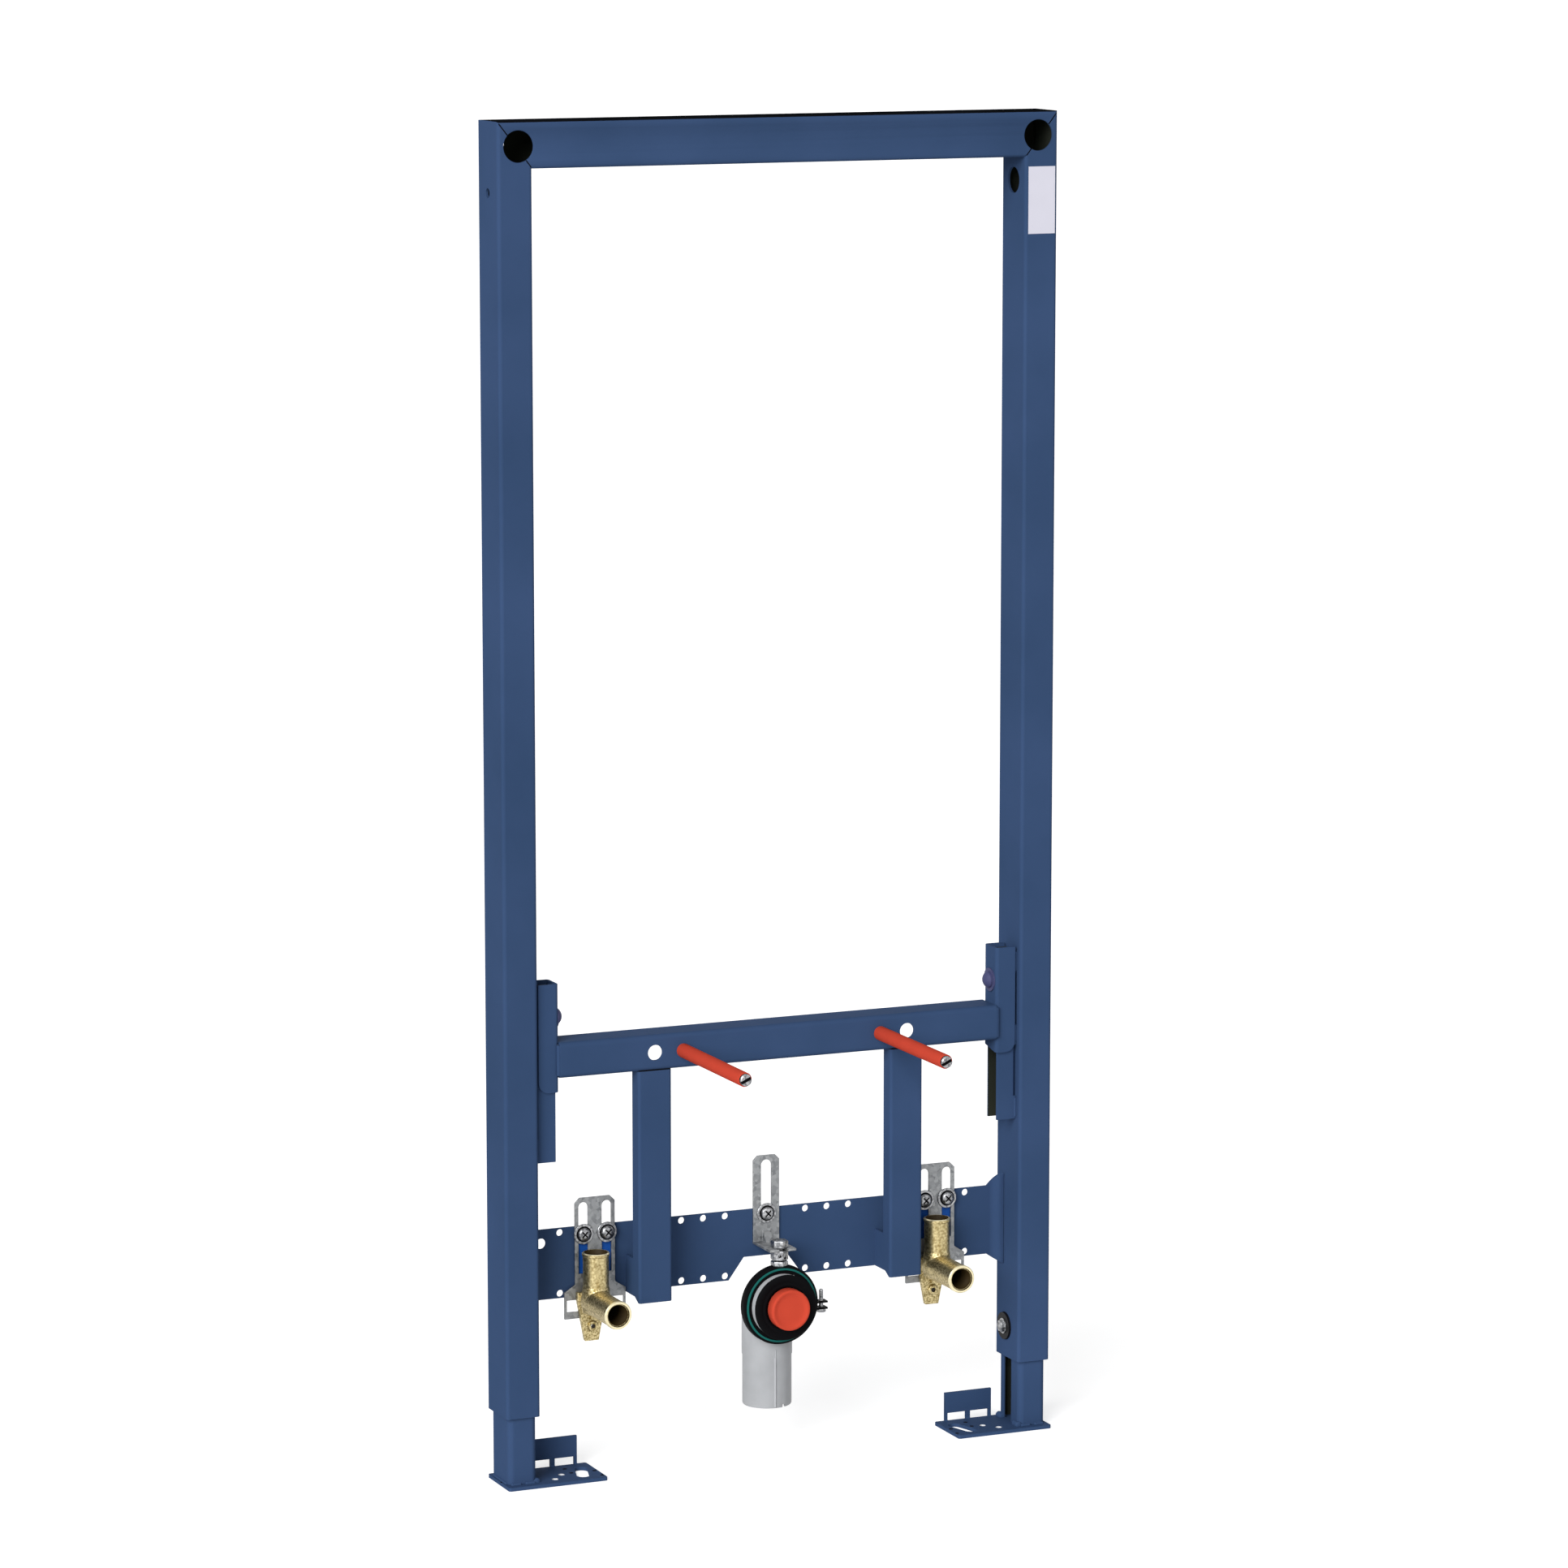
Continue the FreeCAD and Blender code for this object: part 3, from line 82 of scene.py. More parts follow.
# %% Camera
CAMERA_PLACE = point(-1968, -4493, 1359)
CAMERA_TURN = (math.radians(80.95), 0, math.radians(-23.66))
LENS = 137.2
bpy.ops.object.camera_add(location=CAMERA_PLACE, rotation=CAMERA_TURN)
camera = bpy.context.object
camera.data.lens = LENS
camera.data.clip_end = 300
bpy.context.scene.camera = camera
print("camera at", [round(value, 3) for value in camera.location])

# %% [markdown]
# Colours are noted the way a paint or web chart gives them, as sRGB hex values.
# Blender computes with linear light, so one function turns the one into the other.

# %% Colours
def colour(code):
    """Linear RGBA of an sRGB hex value."""
    channels = [int(code[place:place + 2], 16) / 255 for place in (0, 2, 4)]
    linear = [c / 12.92 if c <= 0.04045 else ((c + 0.055) / 1.055) ** 2.4 for c in channels]
    return (*linear, 1)


print("steel blue is", [round(value, 3) for value in colour("3B5074")])

# %% [markdown]
# A material is a small network of nodes. The same three things are done each time
# a node goes in: its settings, the values on its sockets and the links that reach it.

# %% Adding a node
def add_node(tree, kind, settings=(), values=(), links=()):
    node = tree.nodes.new(kind)
    for name, setting in dict(settings).items():
        setattr(node, name, setting)
    for socket, value in dict(values).items():
        node.inputs[socket].default_value = value
    for socket, source in dict(links).items():
        tree.links.new(source, node.inputs[socket])
    return node


def new_material(name):
    """An empty material with its output and object coordinates, which stay put as parts move."""
    material = bpy.data.materials.new(name)
    material.use_nodes = True
    tree = material.node_tree
    tree.nodes.clear()
    output = tree.nodes.new("ShaderNodeOutputMaterial")
    coordinates = tree.nodes.new("ShaderNodeTexCoord").outputs["Object"]
    return material, tree, output, coordinates


print("node helper ready")

# %% [markdown]
# A few kinds of node come back in every finish: noise for whatever varies, a blend of
# two tones, small heights for the light to catch and the surface that shows it all.

# %% Nodes that every finish uses
def noise(tree, coordinates, scale, detail):
    """Cloudy noise that repeats so many times in a metre."""
    cloud = add_node(
        tree, "ShaderNodeTexNoise",
        values={"Scale": scale, "Detail": detail}, links={"Vector": coordinates},
    )
    return cloud.outputs["Fac"]


def map_range(tree, source, end=(0, 1), start=(0, 1)):
    """Stretches a value from a first range to a second one."""
    ends = {"From Min": start[0], "From Max": start[1], "To Min": end[0], "To Max": end[1]}
    mapped = add_node(tree, "ShaderNodeMapRange", values=ends, links={"Value": source})
    return mapped.outputs["Result"]


def blend(tree, share, dark, light):
    """A tone between two colours."""
    tone = add_node(
        tree, "ShaderNodeMix", settings={"data_type": "RGBA"},
        values={6: colour(dark), 7: colour(light)}, links={0: share},
    )
    return tone.outputs[2]


def bump(tree, source, strength, depth):
    """Reads a value as small heights, up to a depth in millimetres."""
    relief = add_node(
        tree, "ShaderNodeBump",
        values={"Strength": strength, "Distance": depth * MM}, links={"Height": source},
    )
    return relief.outputs["Normal"]


def surface(tree, output, values, links):
    """The shader that the material's output shows."""
    shader = add_node(tree, "ShaderNodeBsdfPrincipled", values=values, links=links)
    tree.links.new(shader.outputs["BSDF"], output.inputs["Surface"])


print("ready:", noise.__name__, map_range.__name__, blend.__name__, bump.__name__)

# %% [markdown]
# The tubes and plates are mild steel with a steel-blue powder coat. Powder flows
# together in the oven and sets with a faint orange peel, a millimetre or two from
# crest to crest, and a dull, even sheen. Handling leaves slightly duller patches. The
# peel is drawn at 2.5 mm, since anything finer would vanish in the picture.

# %% Powder-coated steel
PEEL_PITCH = 2.5
PATCHES_PER_METRE = 9


def powder_coat(name, light, dark, sheen=0.01):
    material, tree, output, coordinates = new_material(name)
    peel = noise(tree, coordinates, 1000 / PEEL_PITCH, 2)
    patches = noise(tree, coordinates, PATCHES_PER_METRE, 5)
    tone = add_node(tree, "ShaderNodeValToRGB", links={"Fac": patches})
    for stop, place, code in zip(tone.color_ramp.elements, (0.3, 0.7), (dark, light)):
        stop.position = place
        stop.color = colour(code)
    surface(
        tree, output, {"IOR": 1.5, "Specular IOR Level": sheen},
        {
            "Base Color": tone.outputs["Color"],
            "Roughness": map_range(tree, patches, (0.62, 0.74)),
            "Normal": bump(tree, peel, 0.12, 0.4),
        },
    )
    return material


blue_paint = powder_coat("powder_coated_steel", "3B5074", "34496A")
bolt_paint = powder_coat("painted_bolt_heads", "43466F", "373A60", 0.4)
# Nearly black, for the top face and the dark mitre joints, and a painted shadow where the posts
# meet the crossbar.
dark_top_joint_and_painted_shadow = powder_coat("nearly_black_top_joint_and_painted_shadow", "15171B", "101215", 0)
# A dark colour painted as shade on the inner walls of tubes and channels.
painted_shade_inside = powder_coat("painted_shade_inside_tubes", "34372F", "2A2D28", 0)
print("made", blue_paint.name, "and its shades for the bolts, the top and the insides")

# %% [markdown]
# The tap and waste brackets are hot-dip galvanised sheet. The zinc freezes in
# crystals, called spangle, a few millimetres across and each turned its own way,
# so neighbouring crystals catch the light differently. Voronoi cells draw them. The
# bare zinc has dulled in the air, so it reflects softly.

# %% Galvanised sheet
SPANGLE = 3
GRAINS_PER_METRE = 900


def galvanised(name, light, dark):
    material, tree, output, coordinates = new_material(name)
    cells = add_node(
        tree, "ShaderNodeTexVoronoi",
        values={"Scale": 1000 / SPANGLE}, links={"Vector": coordinates},
    )
    crystals = cells.outputs["Color"]
    grain = noise(tree, coordinates, GRAINS_PER_METRE, 3)
    surface(
        tree, output, {"Metallic": 1},
        {
            "Base Color": blend(tree, crystals, dark, light),
            "Roughness": map_range(tree, crystals, (0.5, 0.7)),
            "Normal": bump(tree, grain, 0.3, 0.4),
        },
    )
    return material


zinc_sheet = galvanised("galvanised_sheet", "A7A9AA", "6F7174")
print("made", zinc_sheet.name)

# %% [markdown]
# Bolts, nuts, washers and rods are electroplated with a thin bright zinc. The
# plating is even, so it needs only a fine grain and a little dulling.

# %% Zinc-plated fasteners
def metal(name, light, dark, roughness, grain_pitch, depth, low=0, high=1):
    """Bare metal, whose grain turns from dark to light between two values of the noise."""
    material, tree, output, coordinates = new_material(name)
    grain = noise(tree, coordinates, 1000 / grain_pitch, 4)
    share = map_range(tree, grain, start=(low, high))
    surface(
        tree, output, {"Metallic": 1},
        {
            "Base Color": blend(tree, share, dark, light),
            "Roughness": map_range(tree, grain, (roughness - 0.08, roughness + 0.08)),
            "Normal": bump(tree, grain, 0.3, depth),
        },
    )
    return material


zinc_plate = metal("zinc_plated_steel", "B4B5B7", "66676A", 0.36, 2, 0.2, 0.36, 0.64)
print("made", zinc_plate.name)

# %% [markdown]
# The tap elbows are sand-cast brass. The casting skin is dull and grainy, and only the mouths are
# turned on a lathe, which leaves them light and smooth. The riser rims and the outlet mouths get a
# paler brass as a painted highlight. On the skin the tones are drawn further apart, so its grains
# read as specks.

# %% Brass
# A paler brass, a painted highlight on the riser rims and the outlet mouths.
painted_highlight_brass = metal("painted_highlight_brass_rim", "F4ECCE", "D9CA98", 0.34, 2, 0.2)
cast_brass = metal("sand_cast_brass", "D6C698", "7C6C40", 0.46, 1.5, 0.8, 0.36, 0.64)
turned_brass = metal("turned_brass", "CFC092", "96855A", 0.4, 2, 0.3, 0.36, 0.64)
print("made", cast_brass.name, turned_brass.name, "and", painted_highlight_brass.name)

# %% [markdown]
# The rest is moulded. Injection-moulded plastic has an even colour, a soft sheen
# and a very fine texture from the mould, and rubber is the same with less gloss.
# The same net of nodes serves for three more skins: a near black painted as shade in slots, screw
# recesses, punch marks and small holes, a dark brown painted as shade in the bores of the cast
# elbows, and a pale grey painted as light on the walls of the pin holes.

# %% Moulded plastics and rubber
CLOUDS_PER_METRE = 60


def moulded(name, code, roughness, grain_pitch=1.2, mottle=0.06, sheen=0.1):
    material, tree, output, coordinates = new_material(name)
    grain = noise(tree, coordinates, 1000 / grain_pitch, 2)
    cloud = noise(tree, coordinates, CLOUDS_PER_METRE, 3)
    tone = add_node(
        tree, "ShaderNodeHueSaturation", values={"Color": colour(code)},
        links={"Value": map_range(tree, cloud, (1 - mottle, 1 + mottle))},
    )
    surface(
        tree, output, {"Roughness": roughness, "IOR": 1.48, "Specular IOR Level": sheen},
        {"Base Color": tone.outputs["Color"], "Normal": bump(tree, grain, 0.1, 0.2)},
    )
    return material


red_cap = moulded("red_polyethylene", "CA4935", 0.5, sheen=0.02)
red_sleeve = moulded("red_vinyl_sleeve", "C84836", 0.6, sheen=0)
black_block = moulded("black_polyamide", "131316", 0.45)
blue_block = moulded("blue_polypropylene", "174C9C", 0.4)
black_rubber = moulded("black_rubber", "0D0D0F", 0.6, sheen=0.03)
teal_rubber = moulded("teal_rubber", "1D645E", 0.5, sheen=0.05)
grey_pipe = moulded("grey_polypropylene_pipe", "AEB0B3", 0.4, mottle=0.14)
# Painted shade: a near black for slots, screw recesses, punch marks and small holes.
painted_shade_recess = moulded("painted_shade_in_recesses", "141316", 0.7, sheen=0.03)
# Painted shade: a dark brown for the bores of the cast elbows.
painted_shade_bore = moulded("painted_shade_in_brass_bores", "32260F", 0.6, sheen=0.2)
# Painted light: a pale grey on the pin-hole walls, standing for the light seen through them.
painted_light_hole_wall = moulded("painted_light_on_pin_hole_walls", "DFE1E4", 0.5)
FINISHES = {
    "blue_paint": blue_paint, "zinc": zinc_sheet, "zinc_bolt": zinc_plate, "brass": cast_brass,
    "red_plastic": red_cap, "black_plastic": black_block, "blue_plastic": blue_block,
    "rubber": black_rubber, "teal_rubber": teal_rubber, "grey_pipe": grey_pipe,
}
print(len(FINISHES), "finishes")

# %% [markdown]
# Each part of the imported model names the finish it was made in. The parts keep
# their meshes, and only the material in their slots changes.

# %% Give every part its finish
slot_of = {part["node"]: part["material_slot"] for part in frame["record"]["subparts"]}
for name, node in nodes.items():
    node.data.materials.clear()
    node.data.materials.append(FINISHES[slot_of[name]])
for name in ("left_lock_bolt", "right_lock_bolt"):
    nodes[name].data.materials[0] = bolt_paint
for name in ("left_leg_clamp", "right_leg_clamp"):
    nodes[name].data.materials[0] = black_block
print("finished", len(slot_of), "parts")

# %% [markdown]
# Each piece that is made below is handed over in the same way: it gets its name, its finish and
# the body it moves with.

# %% Hand a piece over
def select_only(piece):
    bpy.ops.object.select_all(action="DESELECT")
    piece.select_set(True)
    bpy.context.view_layer.objects.active = piece


def coat(piece, material):
    piece.data.materials.clear()
    piece.data.materials.append(material)
    return piece


def settle(piece, name, material, body):
    """Names a finished piece, puts its place in its mesh and lets it move with its body."""
    select_only(piece)
    bpy.ops.object.transform_apply(location=True, rotation=True, scale=True)
    piece.name = name
    piece.data.name = name
    if material:
        coat(piece, material)
    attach(piece, body)
    return piece


BODY_OF = {
    name: body for body, names in frame["record"]["behaviour"]["bodies"].items() for name in names
}

# %% [markdown]
# Sheet steel never has knife edges: the press and the coat leave a small radius
# that draws a thin bright line in the light. A copy of each steel part is merged,
# its flat triangles are dissolved into plain faces, and a bevel rounds its edges.
# The tap brackets' faces wrap round their windows, so they are split first. Otherwise
# one of them is filled across a window. The two plastic insulators are eased as well.

# %% Ease the edges of steel parts and insulators
def ease(name, radius, split=False):
    """A copy of a part, without the part's own marks, with its edges rounded."""
    node = nodes[name]
    piece = node.copy()
    piece.data = node.data.copy()
    for key in list(piece.keys()):
        del piece[key]
    piece.parent = None
    bpy.context.scene.collection.objects.link(piece)
    select_only(piece)
    bpy.ops.object.mode_set(mode="EDIT")
    bpy.ops.mesh.select_all(action="SELECT")
    bpy.ops.mesh.remove_doubles(threshold=0.01 * MM)
    bpy.ops.mesh.dissolve_limited(angle_limit=math.radians(1))
    if split:
        bpy.ops.mesh.vert_connect_concave()
    bpy.ops.object.mode_set(mode="OBJECT")
    bevel = piece.modifiers.new("edge", "BEVEL")
    bevel.width = radius * MM
    bevel.segments = 2
    bevel.limit_method = "ANGLE"
    bevel.angle_limit = math.radians(40)
    bevel.miter_outer = "MITER_ARC"
    bpy.ops.object.modifier_apply(modifier="edge")
    bpy.ops.object.mode_set(mode="EDIT")
    bpy.ops.mesh.select_all(action="SELECT")
    bpy.ops.mesh.remove_doubles(threshold=0.02 * MM)
    bpy.ops.object.mode_set(mode="OBJECT")
    bpy.ops.object.shade_smooth_by_angle(angle=math.radians(35))
    flatten = piece.modifiers.new("flat faces", "WEIGHTED_NORMAL")
    flatten.keep_sharp = True
    flatten.weight = 100
    bpy.ops.object.modifier_apply(modifier="flat faces")
    settle(piece, f"{name}_eased", FINISHES[slot_of[name]], BODY_OF[name])
    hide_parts(name)
    return piece


EASED = {
    "top_rail": 0.6, "crossbar": 0.4, "mounting_plate": 0.35, "waste_bracket": 0.35,
    **{
        f"{side}_{part}": radius
        for side in ("left", "right")
        for part, radius in (
            ("upright", 0.6), ("guide_channel", 0.4), ("slide_shoe", 0.4), ("post", 0.4),
            ("leg", 0.4), ("foot_plate", 0.5), ("tap_bracket", 0.35), ("insulator", 0.3),
        )
    },
}
eased = {name: ease(name, radius, "tap_bracket" in name) for name, radius in EASED.items()}
print("eased", len(eased), "parts,", sum(len(p.data.polygons) for p in eased.values()), "faces")

# %% [markdown]
# Inside the tubes and the guide channels, and in the holes at the corners, the walls get a dark
# colour: painted shade where shade falls inside. The top face gets a nearly black colour, and the
# thin line where each post meets the crossbar gets a painted shadow. A second material goes on
# just those faces, found by their place.

# %% Painted shade inside, the dark top and a painted shadow line
WALL = 1.5


def line_faces(piece, chosen, material):
    """Gives the chosen faces a second material and counts them."""
    piece.data.materials.append(material)
    faces = [face for face in piece.data.polygons if chosen(face)]
    for face in faces:
        face.material_index = len(piece.data.materials) - 1
    return len(faces)


top_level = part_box("top_rail")[1].z / MM
for name in ("top_rail", "left_upright", "right_upright", "left_leg", "right_leg"):
    low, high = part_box(name)
    inner_low, inner_high = low.copy(), high.copy()
    inner_low.y += WALL * MM
    inner_high.y -= WALL * MM
    if name == "top_rail":
        inner_low.z += WALL * MM
        inner_high.z -= WALL * MM
    else:
        inner_low.x += WALL * MM
        inner_high.x -= WALL * MM

    # Faces inside a tube's walls get the painted shade.
    def inside(face):
        return all(a <= c <= b for a, c, b in zip(inner_low, face.center, inner_high))

    def on_top(face):
        return face.normal.z > 0.7 and face.center.z > (top_level - 1) * MM

    print(name, line_faces(eased[name], inside, painted_shade_inside), "dark faces inside")
    if high.z > (top_level - 1) * MM:
        print(name, line_faces(eased[name], on_top, dark_top_joint_and_painted_shadow), "dark faces on top")

for side in ("left", "right"):
    low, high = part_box(f"{side}_guide_channel")

    # Faces between a channel's flanges get the painted shade.
    def in_channel(face):
        between = low.y + WALL * MM < face.center.y < high.y - WALL * MM
        return between and abs(face.normal.z) < 0.5

    name = f"{side}_guide_channel"
    print(name, line_faces(eased[name], in_channel, painted_shade_inside), "dark faces inside")

# The post's top faces, just under the crossbar, get a painted shadow line.
for name in ("left_post", "right_post"):
    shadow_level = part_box(name)[1].z - 0.5 * MM

    def under_crossbar_shadow(face):
        return face.center.z > shadow_level

    print(name, line_faces(eased[name], under_crossbar_shadow, dark_top_joint_and_painted_shadow), "dark faces at the crossbar")

# %% [markdown]
# Round parts are made as on a lathe. A circle is added, and then each step of the
# profile extrudes the last ring along the axis and scales it to the next radius.
# The finished shape is turned from +Z to its own axis and set in its place.

# %% Turning
AXES = {
    "up": Matrix.Identity(4),
    "front": Matrix.Rotation(math.radians(90), 4, "X"),
    "back": Matrix.Rotation(math.radians(-90), 4, "X"),
    "right": Matrix.Rotation(math.radians(90), 4, "Y"),
    "left": Matrix.Rotation(math.radians(-90), 4, "Y"),
}


def turn(place, axis, profile, steps=48):
    """Turns a profile of (radius, distance along the axis) pairs, in millimetres."""
    bpy.ops.object.select_all(action="DESELECT")
    radius, along = profile[0]
    bpy.ops.mesh.primitive_circle_add(vertices=steps, radius=radius * MM)
    piece = bpy.context.object
    bpy.ops.object.mode_set(mode="EDIT")
    bpy.ops.mesh.select_all(action="SELECT")
    bpy.ops.transform.translate(value=(0, 0, along * MM))
    for next_radius, next_along in profile[1:]:
        shift = (0, 0, (next_along - along) * MM)
        bpy.ops.mesh.extrude_region_move(TRANSFORM_OT_translate={"value": shift})
        if next_radius:
            grow = next_radius / radius
            bpy.ops.transform.resize(value=(grow, grow, 1), center_override=(0, 0, 0))
        else:
            bpy.ops.mesh.merge(type="CENTER")
        radius, along = next_radius, next_along
    bpy.ops.mesh.select_all(action="SELECT")
    bpy.ops.mesh.remove_doubles(threshold=0.002 * MM)
    bpy.ops.mesh.select_all(action="DESELECT")
    bpy.ops.mesh.select_non_manifold()
    if any(vertex.select for vertex in bmesh.from_edit_mesh(piece.data).verts):
        bpy.ops.mesh.edge_face_add()
    bpy.ops.mesh.select_all(action="SELECT")
    bpy.ops.mesh.normals_make_consistent(inside=False)
    bpy.ops.object.mode_set(mode="OBJECT")
    piece.matrix_world = Matrix.Translation(place) @ AXES[axis]
    return piece


print("lathe ready, axes", sorted(AXES))

# %% [markdown]
# The other tools lie on the same bench: plain rings and blocks to start from, smooth
# shading, joining pieces into one and cutting one out of another.

# %% Joining and cutting
def ring(inner, outer, start, end, edge=0.3):
    """The profile of a ring with eased edges."""
    return [
        (inner, start + edge), (inner + edge, start), (outer - edge, start), (outer, start + edge),
        (outer, end - edge), (outer - edge, end), (inner + edge, end), (inner, end - edge),
        (inner, start + edge),
    ]


def shade(piece, angle=35):
    select_only(piece)
    bpy.ops.object.shade_smooth_by_angle(angle=math.radians(angle))
    return piece


def merge(pieces):
    """Joins pieces into one object."""
    bpy.ops.object.select_all(action="DESELECT")
    for piece in pieces:
        piece.select_set(True)
    bpy.context.view_layer.objects.active = pieces[0]
    bpy.ops.object.transform_apply(location=True, rotation=True, scale=True)
    if len(pieces) > 1:
        bpy.ops.object.join()
    return bpy.context.object


def cut(piece, cutter, lining=None):
    """Takes the cutter's shape out of a piece, and lines the hollow with its own material."""
    if lining:
        coat(cutter, lining)
    select_only(piece)
    difference = piece.modifiers.new("cut", "BOOLEAN")
    difference.object = cutter
    difference.solver = "EXACT"
    difference.material_mode = "TRANSFER" if lining else "INDEX"
    bpy.ops.object.modifier_apply(modifier="cut")
    bpy.data.objects.remove(cutter)
    return piece


def line_bore(piece, radius, lining):
    """Gives the faces that lie nearer than a radius to a turned piece's axis a lining."""
    return line_faces(
        piece, lambda face: math.hypot(face.center.x, face.center.y) < radius * MM, lining
    )


def block(place, spans, lean=0):
    """A box by its middle, its three sizes in millimetres and its lean to the right."""
    bpy.ops.object.select_all(action="DESELECT")
    bpy.ops.mesh.primitive_cube_add(size=1, location=place, rotation=(0, math.radians(lean), 0))
    piece = bpy.context.object
    piece.scale = [span * MM for span in spans]
    bpy.ops.object.transform_apply(location=True, rotation=True, scale=True)
    return piece


print("bench ready:", merge.__name__, cut.__name__, block.__name__)

# %% [markdown]
# Each bracket is held by self-tapping screws. A steel washer carries a black
# rubber ring, which squeezes out as a dark circle round the bright head, and the
# head has a cross recess for the driver.

# %% Bracket screws
# A screw's node ends this far behind the face that its washer sits on.
NODE_END = 1.7
RECESS = (7, 3, 1.3)


def bracket_screw(across, front, level):
    place = point(across, front, level)
    washer = coat(shade(turn(place, "front", ring(5, 8.7, 0, 1.4, 0.35))), zinc_plate)
    seal = shade(turn(place, "front", ring(4.2, 6.7, 0.6, 1.9)))
    head = turn(
        place, "front",
        [(2.6, 1), (5.6, 1), (5.6, 2.4), (5.2, 3.3), (4.2, 4.1), (2.6, 4.5), (0, 4.5)],
    )
    coat(head, zinc_plate)
    # The cross recess is lined with painted shade.
    for lean in (-45, 45):
        cut(head, block(point(across, front - 4.4, level), RECESS, lean), painted_shade_recess)
    return washer, seal, shade(head)


SCREW_NODES = ("left_tap_screws", "right_tap_screws", "waste_bracket_screw")
screw_places = {name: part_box(name) for name in SCREW_NODES}
for name, (low, high) in screw_places.items():
    front = (high.y - FRONT) / MM - NODE_END
    level = (low.z + high.z) / 2 / MM
    radius = (high.z - low.z) / 2 / MM
    if name == "waste_bracket_screw":
        places = [(low.x + high.x) / 2 / MM]
    else:
        places = [low.x / MM + radius, high.x / MM - radius]
    metal_parts, seals = [], []
    for across in places:
        washer, seal, head = bracket_screw(across, front, level)
        metal_parts += [washer, head]
        seals.append(seal)
    screws = settle(merge(metal_parts), f"{name}_heads", None, "carrier")
    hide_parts(name)
    settle(merge(seals), f"{name}_seals", black_rubber, "carrier")
print("screws on", len(screw_places), "brackets")

# %% [markdown]
# A sand mould leaves soft corners everywhere, so the rough shapes of a casting are
# joined and remeshed into one skin, which is then smoothed. Threads are drawn as
# rings, which cost far fewer faces than a helix and look the same at this size.

# %% Casting skins and threads
VOXEL = 0.7


def remeshed(piece, rounds):
    select_only(piece)
    piece.data.remesh_voxel_size = VOXEL * MM
    bpy.ops.object.voxel_remesh()
    soften = piece.modifiers.new("soften", "SMOOTH")
    soften.factor = 0.5
    soften.iterations = rounds
    bpy.ops.object.modifier_apply(modifier="soften")
    bpy.ops.object.shade_smooth()
    return piece


def threads(radius, start, end, pitch=1.6, depth=0.5):
    """The profile of a thread, drawn as rings."""
    count = int((end - start) / pitch)
    profile = []
    for number in range(count):
        along = start + number * pitch
        profile += [(radius, along), (radius - depth, along + pitch / 2)]
    return profile + [(radius, end)]


print("casting skin in voxels of", VOXEL, "mm")

# %% [markdown]
# The brass elbow is one casting: a round body, a stub towards the ceramic and an
# ear that screws to the bracket. The riser is turned bright outside, and both mouths
# are threaded inside.

# %% Brass tap elbows
RISER_HEIGHT = 43
ELBOW_DEPTH = 20
EAR_WIDTH, EAR_SHEET = 25.6, 4.8


def make_ear(across, back, top, tip, waist):
    """A plate that narrows from its waist down to its tip."""
    ear = block(point(across, back - 2.5, (top + tip) / 2), (EAR_WIDTH, EAR_SHEET, top - tip))
    bpy.ops.object.mode_set(mode="EDIT")
    bpy.ops.mesh.select_all(action="SELECT")
    bpy.ops.mesh.bisect(plane_co=point(across, 0, waist), plane_no=(0, 0, 1))
    bpy.ops.mesh.select_all(action="DESELECT")
    bpy.ops.object.mode_set(mode="OBJECT")
    for vertex in ear.data.vertices:
        vertex.select = vertex.co.z < (tip + 1) * MM
    bpy.ops.object.mode_set(mode="EDIT")
    bpy.ops.transform.resize(value=(0.48, 1, 1), center_override=point(across, 0, tip))
    bpy.ops.object.mode_set(mode="OBJECT")
    return ear


